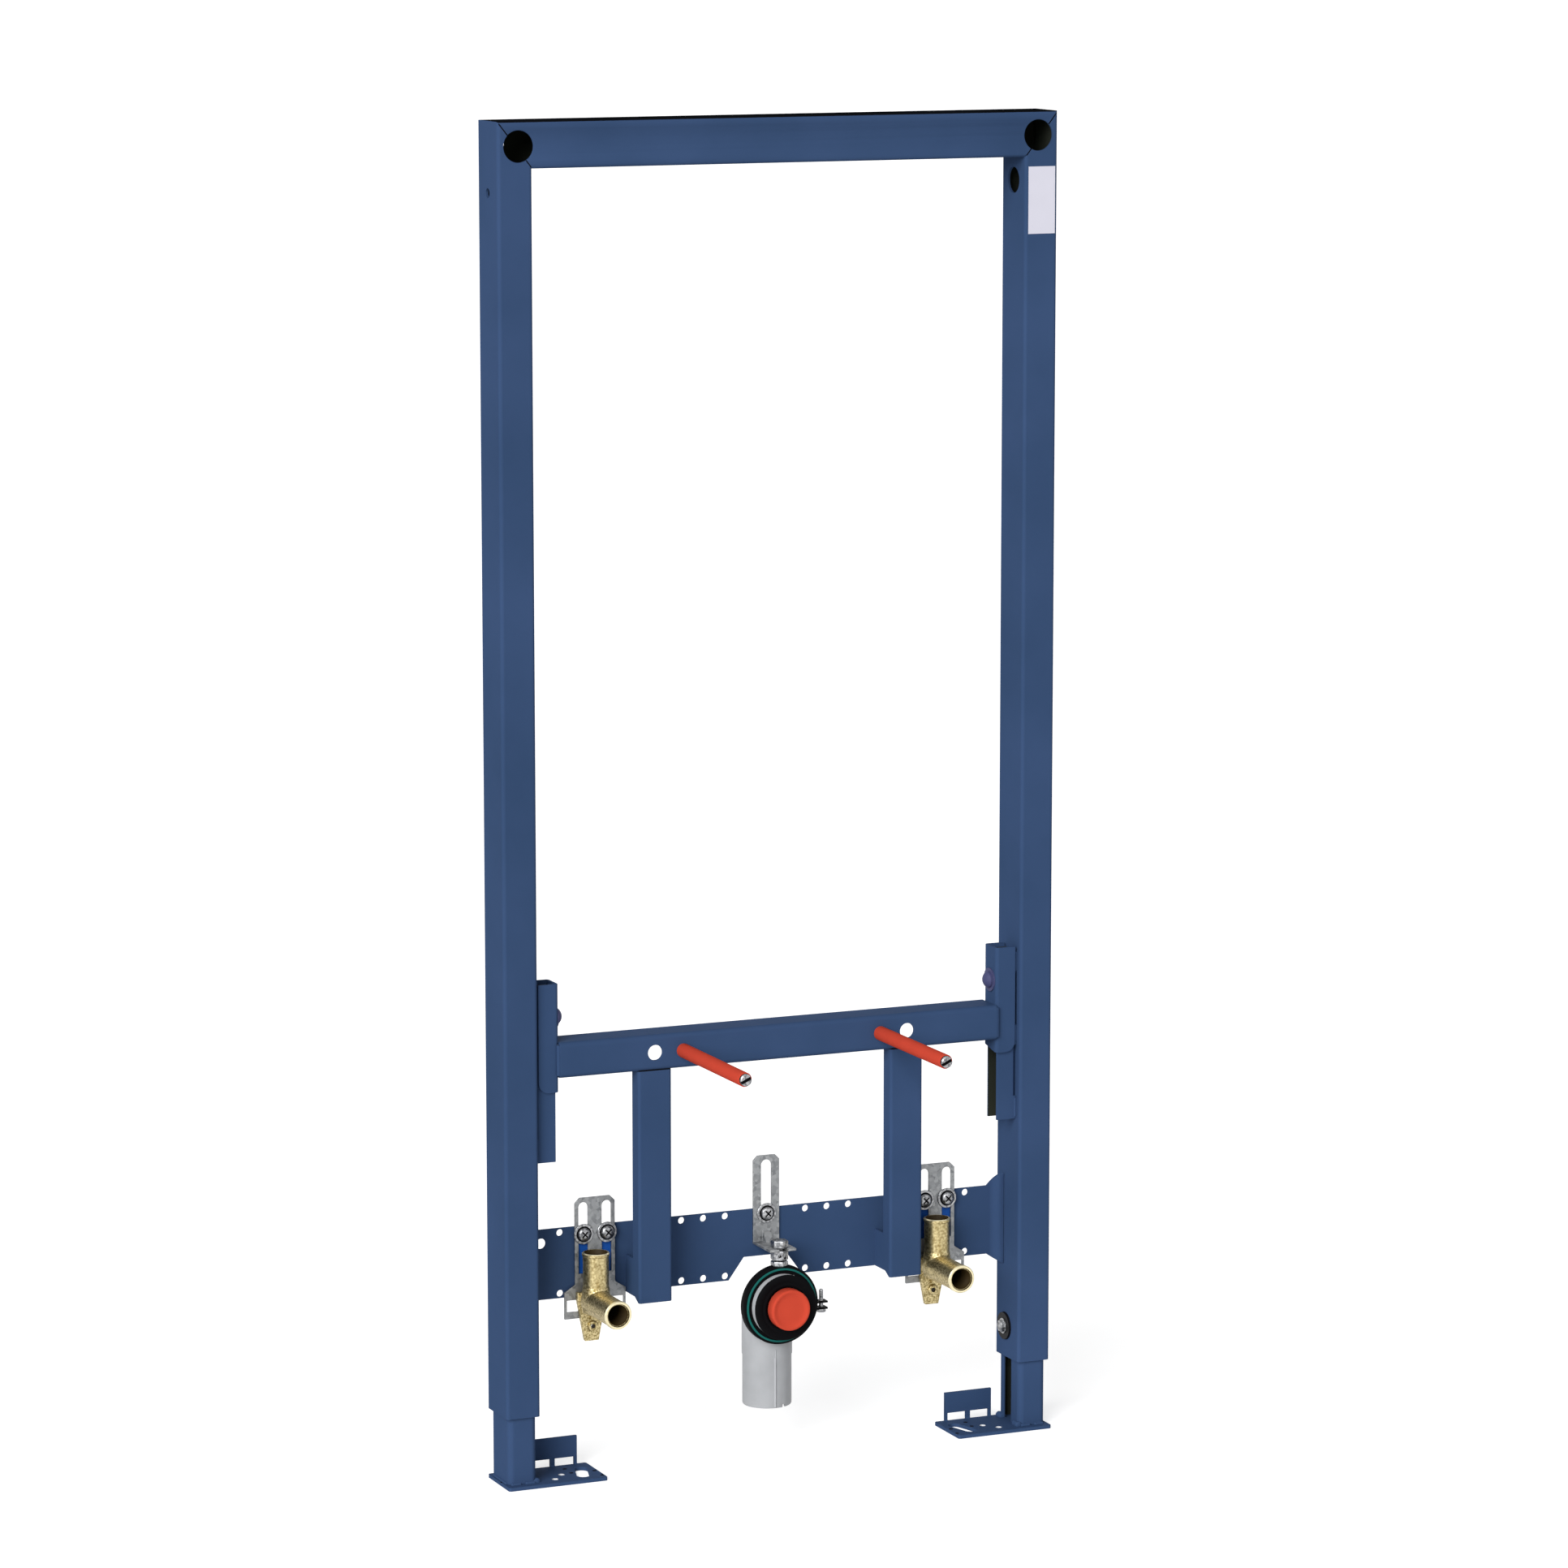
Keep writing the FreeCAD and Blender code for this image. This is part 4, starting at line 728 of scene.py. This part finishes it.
def make_elbow(side):
    low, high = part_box(f"{side}_tap_elbow")
    across = (low.x + high.x) / 2 / MM
    front, back = (low.y - FRONT) / MM, (high.y - FRONT) / MM
    top, tip = high.z / MM, low.z / MM
    level = top - RISER_HEIGHT
    centre = point(across, ELBOW_DEPTH, level)
    reach = ELBOW_DEPTH - front
    neck_end = back - ELBOW_DEPTH - 4
    body = turn(centre, "up", [(4, -12), (11, -8), (12.2, 0), (12, 6), (11, 14), (0, 16)])
    stub = turn(
        centre, "front",
        [
            (6, -8), (11.4, -8), (12, 4), (11.6, 16), (11.6, 44), (12, 45), (12, reach - 1.2),
            (0, reach - 1.2),
        ],
    )
    neck = turn(centre, "back", [(9, 0), (9.4, neck_end), (0, neck_end)])
    ear = make_ear(across, back, level + 7, tip, level)
    rib = block(point(across, back - 7, level - 11), (5, 6, 10))
    boss = turn(
        point(across, back - 2, tip + 13), "front", [(4.4, 0), (4.4, 5), (3.8, 5.6), (0, 5.6)], 24
    )
    casting = coat(remeshed(merge([body, stub, neck, ear, rib, boss]), 5), cast_brass)
    # The bores cut into the casting are lined with painted shade.
    for place, axis, radius, length in (
        (centre, "front", 9, 60),
        (point(across, back + 4, tip + 13), "front", 2, 16),
        (point(across, ELBOW_DEPTH, level + 2), "up", 8.6, 20),
    ):
        cutter = turn(place, axis, [(radius, 0), (radius, length), (0, length)], 32)
        cut(casting, cutter, painted_shade_bore)
    shade(casting, 40)
    riser = turn(
        centre, "up",
        [
            (9.3, 9), *threads(9.3, 24, 41), (9.9, 43), (11, 43), (11.6, 42.3), (11.6, 40.4),
            (10.9, 39.7), (10.8, 9), (9.3, 9),
        ],
    )
    coat(shade(riser, 30), turned_brass)
    # The riser's rim faces get the painted highlight.
    rim = line_faces(riser, lambda face: face.center.z > 42 * MM, painted_highlight_brass)
    print(side, "riser with", rim, "bright faces on its rim")
    # The riser's bore is lined with painted shade.
    line_bore(riser, 9.8, painted_shade_bore)
    mouth = turn(
        centre, "front",
        [
            (9.1, 26), *threads(9.1, 30, reach - 1.6), (9.9, reach), (11.4, reach),
            (12, reach - 0.8), (12, reach - 1.6), (9.1, 26),
        ],
    )
    # The outlet mouth gets the painted highlight all over, and its bore painted shade.
    line_bore(coat(shade(mouth, 30), painted_highlight_brass), 9.8, painted_shade_bore)
    settle(casting, f"{side}_elbow_casting", None, "carrier")
    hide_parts(f"{side}_tap_elbow")
    settle(riser, f"{side}_elbow_riser", None, "carrier")
    settle(mouth, f"{side}_elbow_mouth", None, "carrier")
    return casting


for side, _ in SIDES:
    casting = make_elbow(side)
    print(casting.name, len(casting.data.polygons), "faces")

# %% [markdown]
# The waste connection is a stack of round parts round one axis: a grey socket
# pipe, a black seal that lines it, a red transport plug and a rubber-lined clamp
# whose front carries a teal ring. Moulded rims are never sharp, so each profile
# turns its corners in small steps.

# %% Waste connection
AXIS_LEVEL = 132
WASTE_DEPTH = 35


def rounded_ring(inner, outer, start, end, edge):
    """A ring whose outer edges are quarter rounds."""
    turns = [math.radians(angle) for angle in (0, 30, 60, 90)]
    front = [
        (outer - edge + edge * math.sin(angle), start + edge - edge * math.cos(angle))
        for angle in turns
    ]
    back = [
        (outer - edge + edge * math.cos(angle), end - edge + edge * math.sin(angle))
        for angle in turns
    ]
    return [(inner, start), *front, *back, (inner, end), (inner, start)]


waste_axis = point(0, 0, AXIS_LEVEL)
clamp_front = (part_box("clamp_marker_ring")[1].y - FRONT) / MM
band = turn(waste_axis, "back", rounded_ring(27.3, 34, clamp_front, clamp_front + 9, 1.2), 96)
lugs = [block(point(38, clamp_front + 4.5, level), (10, 8.4, 1.5)) for level in (130.75, 125.25)]
band = shade(merge([band, *lugs]))
settle(band, "rubber_lined_clamp", black_rubber, "carrier")
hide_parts("pipe_clamp")
teal = turn(
    waste_axis, "back", rounded_ring(30.3, 31.9, clamp_front - 1, clamp_front + 0.2, 0.4), 96
)
settle(shade(teal), "teal_ring", teal_rubber, "carrier")
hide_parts("clamp_marker_ring")
seal = turn(
    waste_axis, "back",
    [
        (15.4, -5), (17.6, -5.6), (18.4, -6.8), (20, -7), (21, -6.6), (22, -6.6), (23, -7),
        (26.2, -7), (27.6, -6.6), (28, -6), (28, -4.2), (27.6, -3.6), (24.8, -3.6),
        (24.8, 0), (19.4, 0.2), (19.2, 4), (15.4, 4), (15.4, -5),
    ],
    96,
)
settle(shade(seal, 50), "lip_seal", black_rubber, "carrier")
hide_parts("waste_collar")
plug = turn(
    waste_axis, "front",
    [
        (14.8, -4), (14.8, 7), (17.2, 7), (17.5, 7.4), (17.5, 15.6), (17.3, 16.5), (16.7, 17),
        (15.6, 17), (14.6, 16.7), (13.6, 16.2), (11, 15.9), (6, 16.1), (0, 16.2),
    ],
    96,
)
settle(shade(plug, 40), "transport_plug", red_cap, "carrier")
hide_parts("waste_plug")
print("clamp, ring, seal and plug made")

# %% [markdown]
# The grey pipe turns from the socket behind the ceramic down to the floor in one
# bend. A ring is drawn at the socket's mouth and extruded back, spun through a
# quarter turn and extruded down, and Solidify gives the shell its wall.

# %% Grey waste pipe
BEND = 22
PIPE_RADIUS = 21.5
SOCKET_RADIUS = 27
SPIGOT_RADIUS = 21
SOCKET_REACH = 3.1
SOCKET_BACK = 13


def draw_pipe(shift, end, previous, radius, along):
    """Extrudes the pipe's open end by a shift and scales it to its next radius."""
    bpy.ops.mesh.extrude_region_move(TRANSFORM_OT_translate={"value": [s * MM for s in shift]})
    grow = radius / previous
    sizes = [1 if axis == along else grow for axis in "xyz"]
    bpy.ops.transform.resize(value=sizes, center_override=point(0, *end))


bpy.ops.object.select_all(action="DESELECT")
bpy.ops.mesh.primitive_circle_add(
    vertices=72, radius=26.8 * MM, location=point(0, -SOCKET_REACH, AXIS_LEVEL),
    rotation=(math.radians(90), 0, 0),
)
pipe = bpy.context.object
bpy.ops.object.transform_apply(location=True, rotation=True, scale=True)
bpy.ops.object.mode_set(mode="EDIT")
bpy.ops.mesh.select_all(action="SELECT")
for start, back, previous, radius in (
    (-SOCKET_REACH, 0.5 - SOCKET_REACH, 26.8, SOCKET_RADIUS),
    (0.5 - SOCKET_REACH, 12, SOCKET_RADIUS, SOCKET_RADIUS),
    (12, SOCKET_BACK, SOCKET_RADIUS, PIPE_RADIUS),
):
    draw_pipe((0, back - start, 0), (back, AXIS_LEVEL), previous, radius, "y")
bpy.ops.mesh.spin(
    steps=16, angle=math.radians(90), center=point(0, SOCKET_BACK, AXIS_LEVEL - BEND),
    axis=(1, 0, 0),
)
for start, level, previous, radius in (
    (AXIS_LEVEL - BEND, 84, PIPE_RADIUS, PIPE_RADIUS), (84, 83, PIPE_RADIUS, SPIGOT_RADIUS),
    (83, 41, SPIGOT_RADIUS, SPIGOT_RADIUS), (41, 40, SPIGOT_RADIUS, 20.4),
):
    draw_pipe((0, 0, level - start), (WASTE_DEPTH, level), previous, radius, "z")
bpy.ops.mesh.select_all(action="SELECT")
bpy.ops.mesh.remove_doubles(threshold=0.005 * MM)
bpy.ops.mesh.normals_make_consistent(inside=False)
bpy.ops.object.mode_set(mode="OBJECT")
wall = pipe.modifiers.new("wall", "SOLIDIFY")
wall.thickness = 1.8 * MM
wall.offset = -1
bpy.ops.object.modifier_apply(modifier="wall")
cut(pipe, block(point(6.9, WASTE_DEPTH - 19.8, 41), (2.4, 5, 3)))
seam = block(point(0, 0, 0), (1.8, 1.8, 50))
bpy.ops.object.mode_set(mode="EDIT")
bpy.ops.mesh.select_all(action="SELECT")
bpy.ops.transform.rotate(value=math.radians(45), orient_axis="Z", center_override=point(0, 0, 0))
bpy.ops.object.mode_set(mode="OBJECT")
seam.location = (-1.2 * MM, (WASTE_DEPTH - 20.7) * MM, 66 * MM)
pipe = merge([pipe, seam])
settle(shade(pipe, 50), "waste_pipe", grey_pipe, "carrier")
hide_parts("waste_elbow")
print(pipe.name, "with", len(pipe.data.polygons), "faces")

# %% [markdown]
# Rods and nuts are bought parts with real threads. The two studs for the ceramic wear
# red sleeves, and their slotted ends stay bare. The bolts that clamp the legs are made
# in the same loop, since each side has one.

# %% Studs, sleeves and nuts
STUD_LEVEL = 359
STUD_SPACING = 180


def hexagon(place, axis, flats, height, bore):
    """A nut with chamfered corners."""
    corner = flats / math.sqrt(3)
    face = corner * 0.93
    nut = turn(
        place, axis, [(face, 0), (corner, 0.8), (corner, height - 0.8), (face, height)], 6
    )
    if bore:
        cut(nut, turn(place, axis, [(bore, -1), (bore, height + 1)], 32))
    return shade(nut, 25)


for side, sign in SIDES:
    across = sign * STUD_SPACING / 2
    axis_start = point(across, 0, STUD_LEVEL)
    stud = turn(
        axis_start, "back",
        [
            (4.2, -131), (4.9, -130.3), *threads(4.9, -130.3, -126, 1.5, 0.4), (4.9, 4),
            *threads(4.9, 4, 21.5, 1.5, 0.4), (4.2, 22.5),
        ],
        32,
    )
    # The slot at the stud's end is lined with painted shade.
    slot = block(point(across, -130.6, STUD_LEVEL), (14, 3, 2.6), -25)
    cut(coat(shade(stud, 30), zinc_plate), slot, painted_shade_recess)
    settle(stud, f"{side}_threaded_stud", None, "carrier")
    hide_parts(f"{side}_stud")
    sleeve = turn(axis_start, "back", rounded_ring(5.15, 6, -128, 2, 0.5))
    settle(shade(sleeve), f"{side}_red_sleeve", red_sleeve, "carrier")
    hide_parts(f"{side}_stud_sleeve")
    nut = hexagon(point(across, 4.5, STUD_LEVEL), "back", 17, 8, 5.1)
    settle(nut, f"{side}_welded_nut", zinc_plate, "carrier")
    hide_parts(f"{side}_stud_nut")
    low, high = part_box(f"{side}_clamp_bolt")
    inner_end = (low.x if sign > 0 else high.x) / MM + 2.5 * sign
    middle = ((low.y + high.y) / 2 - FRONT) / MM
    level = (low.z + high.z) / 2 / MM
    outwards = "right" if sign > 0 else "left"
    head = hexagon(point(inner_end, middle, level), outwards, 9, 4.5, 0)
    collar_place = point(inner_end + 2.6 * sign, middle, level)
    collar = shade(turn(collar_place, outwards, ring(4, 6.7, 0, 1.2)))
    settle(merge([head, collar]), f"{side}_clamp_bolt_head", zinc_plate, "frame")
    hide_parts(f"{side}_clamp_bolt")
print("two studs with sleeves and nuts, and the bolts that clamp the legs")

# %% [markdown]
# The hanger between the shelf and the clamp is a threaded rod with hexagon nuts
# below the shelf and a lock nut above it. The shelf has an open slot, so that the
# clamp slides in from the front. The clamp closes with one screw.

# %% Hanger and clamp screw
HANGER_DEPTH = 8.5
nuts = [
    coat(hexagon(point(0, HANGER_DEPTH, bottom), "up", 13, height, 0), zinc_plate)
    for bottom, height in ((165.4, 4.2), (170.6, 8.2))
]
# Two small holes in the upper nut are lined with painted shade.
for across, level in ((-2.2, 174.6), (2.6, 172.8)):
    hole = turn(point(across, HANGER_DEPTH, level), "front", [(1.2, 0), (1.2, 10), (0, 10)], 16)
    cut(nuts[1], hole, painted_shade_recess)
core = turn(
    point(0, HANGER_DEPTH, 165.6), "up",
    [
        (3.4, 0), *threads(4.6, 0.6, 6, 1.2, 0.5), (3.9, 6), *threads(3.9, 12, 15.4, 1.2, 0.4),
        (3.4, 15.6),
    ],
    32,
)
coat(core, zinc_plate)
hanger = merge([*nuts, shade(core, 30)])
settle(hanger, "hanger_hexagon", None, "carrier")
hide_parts("hanger_boss")
cut(eased["waste_bracket"], block(point(0, 2.6, 180), (9, 12, 5)))
lock_nut = hexagon(point(0, HANGER_DEPTH, 181.1), "up", 13, 6.2, 4.1)
rod_end = turn(
    point(0, HANGER_DEPTH, 181.2), "up",
    [(3.2, 0), (3.9, 0.4), *threads(3.9, 0.4, 5.4, 1.25, 0.5), (3.4, 6), (0, 6.1)], 32,
)
top_nut = merge([lock_nut, shade(rod_end, 30)])
settle(top_nut, "hanger_lock_nut", zinc_plate, "carrier")
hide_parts("hanger_nut")
low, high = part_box("clamp_screw")
screw_x = (low.x + high.x) / 2 / MM
screw_depth = ((low.y + high.y) / 2 - FRONT) / MM
screw_low, screw_high = low.z / MM, high.z / MM
screw_head = hexagon(point(screw_x, screw_depth, screw_low), "up", 7, 3, 0)
screw_rod = turn(
    point(screw_x, screw_depth, screw_low + 2.9), "up",
    [
        (1.9, 0), (1.9, 6), *threads(1.95, 6, 15.4, 1, 0.35), (1.5, 16.4),
        (0.6, screw_high - screw_low - 2.9),
    ],
    20,
)
clamp_screw = merge([screw_head, shade(screw_rod, 30)])
settle(clamp_screw, "clamp_closing_screw", zinc_plate, "carrier")
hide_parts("clamp_screw")
print("hanger, lock nut and clamp screw made")

# %% [markdown]
# The mitred corners are welded inside and stay visible outside as a thin dark
# joint. A narrow cutter is laid along each mitre and takes a shallow groove out of
# the rail and the upright, and its own dark material lines the groove.

# %% Mitre joints at the top corners
HALF_WIDTH = 250
RAIL_HEIGHT = 38
TUBE_WIDTH = 30
GROOVE_WIDTH, GROOVE_DEPTH = 1, 1.2


def mitre_cutter(sign):
    """A narrow block that lies along the mitre in the plane of the fronts."""
    length = math.hypot(RAIL_HEIGHT, TUBE_WIDTH) - 1
    middle = point(sign * (HALF_WIDTH - TUBE_WIDTH / 2), 0, top_level - RAIL_HEIGHT / 2)
    lean = sign * math.degrees(math.atan2(TUBE_WIDTH, RAIL_HEIGHT))
    return block(middle, (GROOVE_WIDTH, GROOVE_DEPTH, length), lean)


for side, sign in SIDES:
    for name in ("top_rail", f"{side}_upright"):
        cut(eased[name], mitre_cutter(sign), dark_top_joint_and_painted_shadow)
print("two mitre joints cut")

# %% [markdown]
# The label on the right upright stays bare. It is a thin film that is stuck to the
# front and folded round the tube's rounded corner onto its inner side. A plane is
# drawn at its size, its edge is spun round the corner and extruded, and Solidify
# gives it the thickness of a film.

# %% Bare label
label_film = moulded("pale_label_film", "D6D5E1", 0.5, 0.8, 0.03)
CORNER = 3
LABEL_LOW, LABEL_HIGH = 1028, 1084
LABEL_LEFT, LABEL_RIGHT = 220 + CORNER, 247.5
LABEL_FOLD = 4.5
FILM = 0.2
bpy.ops.object.select_all(action="DESELECT")
label_middle = point((LABEL_LEFT + LABEL_RIGHT) / 2, -0.06, (LABEL_LOW + LABEL_HIGH) / 2)
bpy.ops.mesh.primitive_plane_add(size=1, location=label_middle, rotation=(math.radians(90), 0, 0))
label = bpy.context.object
label.scale = ((LABEL_RIGHT - LABEL_LEFT) * MM, (LABEL_HIGH - LABEL_LOW) * MM, 1)
bpy.ops.object.transform_apply(location=True, rotation=True, scale=True)
for vertex in label.data.vertices:
    vertex.select = vertex.co.x < label_middle.x
for edge in label.data.edges:
    edge.select = all(label.data.vertices[corner].select for corner in edge.vertices)
for face in label.data.polygons:
    face.select = False
bpy.ops.object.mode_set(mode="EDIT")
bpy.ops.mesh.spin(
    steps=6, angle=math.radians(90), center=point(LABEL_LEFT, CORNER, LABEL_LOW), axis=(0, 0, -1)
)
bpy.ops.mesh.extrude_region_move(TRANSFORM_OT_translate={"value": (0, LABEL_FOLD * MM, 0)})
bpy.ops.mesh.select_all(action="SELECT")
bpy.ops.mesh.remove_doubles(threshold=0.002 * MM)
bpy.ops.mesh.normals_make_consistent(inside=False)
bpy.ops.object.mode_set(mode="OBJECT")
film = label.modifiers.new("film", "SOLIDIFY")
film.thickness = FILM * MM
film.offset = 0
bpy.ops.object.modifier_apply(modifier="film")
settle(shade(label, 30), "bare_label", label_film, "frame")
print(label.name, "of", LABEL_HIGH - LABEL_LOW, "mm high")

# %% [markdown]
# Weld beads hold the frame together. A bead is a string of overlapping ripples about 2 mm apart,
# so it is turned like a rod with a wavy profile and half sunk into the joint. The beads are
# painted with the steel. Where each post meets the crossbar's rounded edge, a thin dark block is a
# painted shadow line.

# %% Weld beads
RIPPLE = 2


def bead(place, axis, length, radius):
    """A rod with a wavy profile and tapered ends."""
    count = max(2, round(length / RIPPLE))
    step = (length - 0.8) / count
    profile = [(radius * 0.5, 0), (radius * 0.9, 0.4)]
    for number in range(count):
        along = 0.4 + number * step
        profile += [(radius, along + 0.4), (radius * 0.82, along + 0.8 * step)]
    profile += [(radius * 0.9, length - 0.3), (radius * 0.5, length)]
    return shade(turn(place, axis, profile, 12), 60)


for side, sign in SIDES:
    crossbar_beads = [
        coat(bead(point(sign * 200.2, depth, 346), "up", 26, radius), blue_paint)
        for depth, radius in ((4.4, 2.3), (29.5, 2))
    ]
    # A thin dark block on top of the post: a painted shadow line under the crossbar.
    shadow_line = coat(block(point(sign * 115, 4.25, 344.2), (28, 1.5, 1)), dark_top_joint_and_painted_shadow)
    crossbar_welds_and_shadow_line = merge([*crossbar_beads, shadow_line])
    settle(crossbar_welds_and_shadow_line, f"{side}_crossbar_welds_and_shadow_line", None, "carrier")
    channel_beads = [
        bead(point(sign * 219.4, 7.6, level), "up", 17, 1.4) for level in (274.5, 338, 401.5)
    ]
    settle(merge(channel_beads), f"{side}_channel_welds", blue_paint, "frame")
    foot_beads = [
        bead(point(min(sign * near, sign * far), 2.4, 3.4), "right", 8.5, 1.5)
        for near, far in ((224.5, 233), (237, 245.5))
    ]
    foot_beads += [
        bead(point(sign * across, depth, level), "back", length, radius)
        for across, depth, level, length, radius in (
            (247.4, 8, 3.4, 30, 1.5), (222.6, 2, 3.6, 9, 3.2), (222.6, 34, 3.6, 9, 3.4),
        )
    ]
    foot_welds = merge(foot_beads)
    settle(foot_welds, f"{side}_foot_welds", blue_paint, f"{side}_leg_assembly")
print("beads on crossbar, channels and feet")

# %% [markdown]
# The foot plates carry small punch marks from the press. Each is a shallow cone that a cutter
# leaves in the plate, and its hollow is lined with painted shade. The walls of the two pin holes
# get a pale colour, a painted light that stands for the light seen through them.

# %% Punch marks and pin holes in the foot plates
PUNCH_MARKS = [(186, 32.6), (185.5, 19), (165, 18), (164, 3), (248.4, 15.5)]
PIN_HOLES = [(195, 17.5), (205, 6.5)]
PIN_RADIUS = 2.7
for side, sign in SIDES:
    foot = eased[f"{side}_foot_plate"]
    for across, depth in PUNCH_MARKS:
        place = point(sign * across, depth, 1.6)
        # Each punch mark's hollow is lined with painted shade.
        mark = turn(place, "up", [(1, 0), (1.9, 1.3), (2, 3), (0, 3)], 16)
        cut(foot, mark, painted_shade_recess)
    for across, depth in PIN_HOLES:
        # Each pin hole's wall gets the pale painted light.
        drill = turn(point(sign * across, depth, -1), "up", [(PIN_RADIUS, 0), (PIN_RADIUS, 6)], 24)
        cut(foot, drill, painted_light_hole_wall)
print(len(PUNCH_MARKS), "marks and", len(PIN_HOLES), "bare pin holes in each foot plate")

# %% [markdown]
# The object stands on a plain pale floor that runs far past the picture's edges.
# To the camera the floor gives off a little light of its own, which lifts it to the
# photograph's white and still lets the soft shadow under the feet show.

# %% Floor
# The floor's width and how far its middle lies behind the object, in metres
FLOOR_WIDTH, FLOOR_BACK = 240, 40
FLOOR_GLOW = 0.6


def seen_straight(tree):
    """One for the rays of the camera, through glass and off gloss, and nought for others."""
    rays = add_node(tree, "ShaderNodeLightPath")
    straight = add_node(
        tree, "ShaderNodeMath", settings={"operation": "MAXIMUM"},
        links={0: rays.outputs["Is Camera Ray"], 1: rays.outputs["Is Transmission Ray"]},
    )
    seen = add_node(
        tree, "ShaderNodeMath", settings={"operation": "MAXIMUM"},
        links={0: straight.outputs[0], 1: rays.outputs["Is Glossy Ray"]},
    )
    return seen.outputs[0]


bpy.ops.mesh.primitive_plane_add(size=FLOOR_WIDTH, location=(0, FLOOR_BACK, 0))
floor = bpy.context.object
floor.name = "studio_floor"
floor_finish, floor_tree, floor_output, _ = new_material("white_paper")
lift = add_node(
    floor_tree, "ShaderNodeMath", settings={"operation": "MULTIPLY"}, values={1: FLOOR_GLOW},
    links={0: seen_straight(floor_tree)},
)
paper = add_node(floor_tree, "ShaderNodeBsdfDiffuse", values={"Color": colour("F0F0F0")})
glow = add_node(
    floor_tree, "ShaderNodeEmission", values={"Color": colour("FFFFFF")},
    links={"Strength": lift.outputs[0]},
)
both = add_node(
    floor_tree, "ShaderNodeAddShader", links={0: paper.outputs[0], 1: glow.outputs[0]}
)
floor_tree.links.new(both.outputs[0], floor_output.inputs["Surface"])
floor.data.materials.append(floor_finish)
print("floor of", floor.dimensions.x, "m")

# %% [markdown]
# Two wide soft lights from the front and an even surround are the usual light for such
# a product picture, and a weak third one keeps the back readable. The surround looks
# white to the camera and in reflections.

# %% Light
SURROUND = 0.2
bpy.context.scene.view_settings.view_transform = "Standard"
world = bpy.data.worlds.new("studio")
bpy.context.scene.world = world
world.use_nodes = True
sky = world.node_tree
sky.nodes.clear()
strength = map_range(sky, seen_straight(sky), (SURROUND, 1))
surround = add_node(
    sky, "ShaderNodeBackground", values={"Color": colour("FFFFFF")},
    links={"Strength": strength},
)
add_node(sky, "ShaderNodeOutputWorld", links={"Surface": surround.outputs[0]})


def soft_light(name, across, height, strength, spread):
    """A soft light from so many degrees right of the front and above the floor."""
    turned = (math.radians(90 - height), 0, math.radians(across))
    bpy.ops.object.light_add(type="SUN", location=(0, 0, 3), rotation=turned)
    lamp = bpy.context.object
    lamp.name = name
    lamp.data.energy = strength
    lamp.data.angle = math.radians(spread)
    return lamp


key_light = soft_light("soft_light_left", -49, 25, 3.02, 40)
fill_light = soft_light("soft_light_front", 12, 15, 0.35, 60)
back_light = soft_light("soft_light_back", 140, 10, 0.9, 60)
print("lit by", key_light.name, fill_light.name, "and", back_light.name)
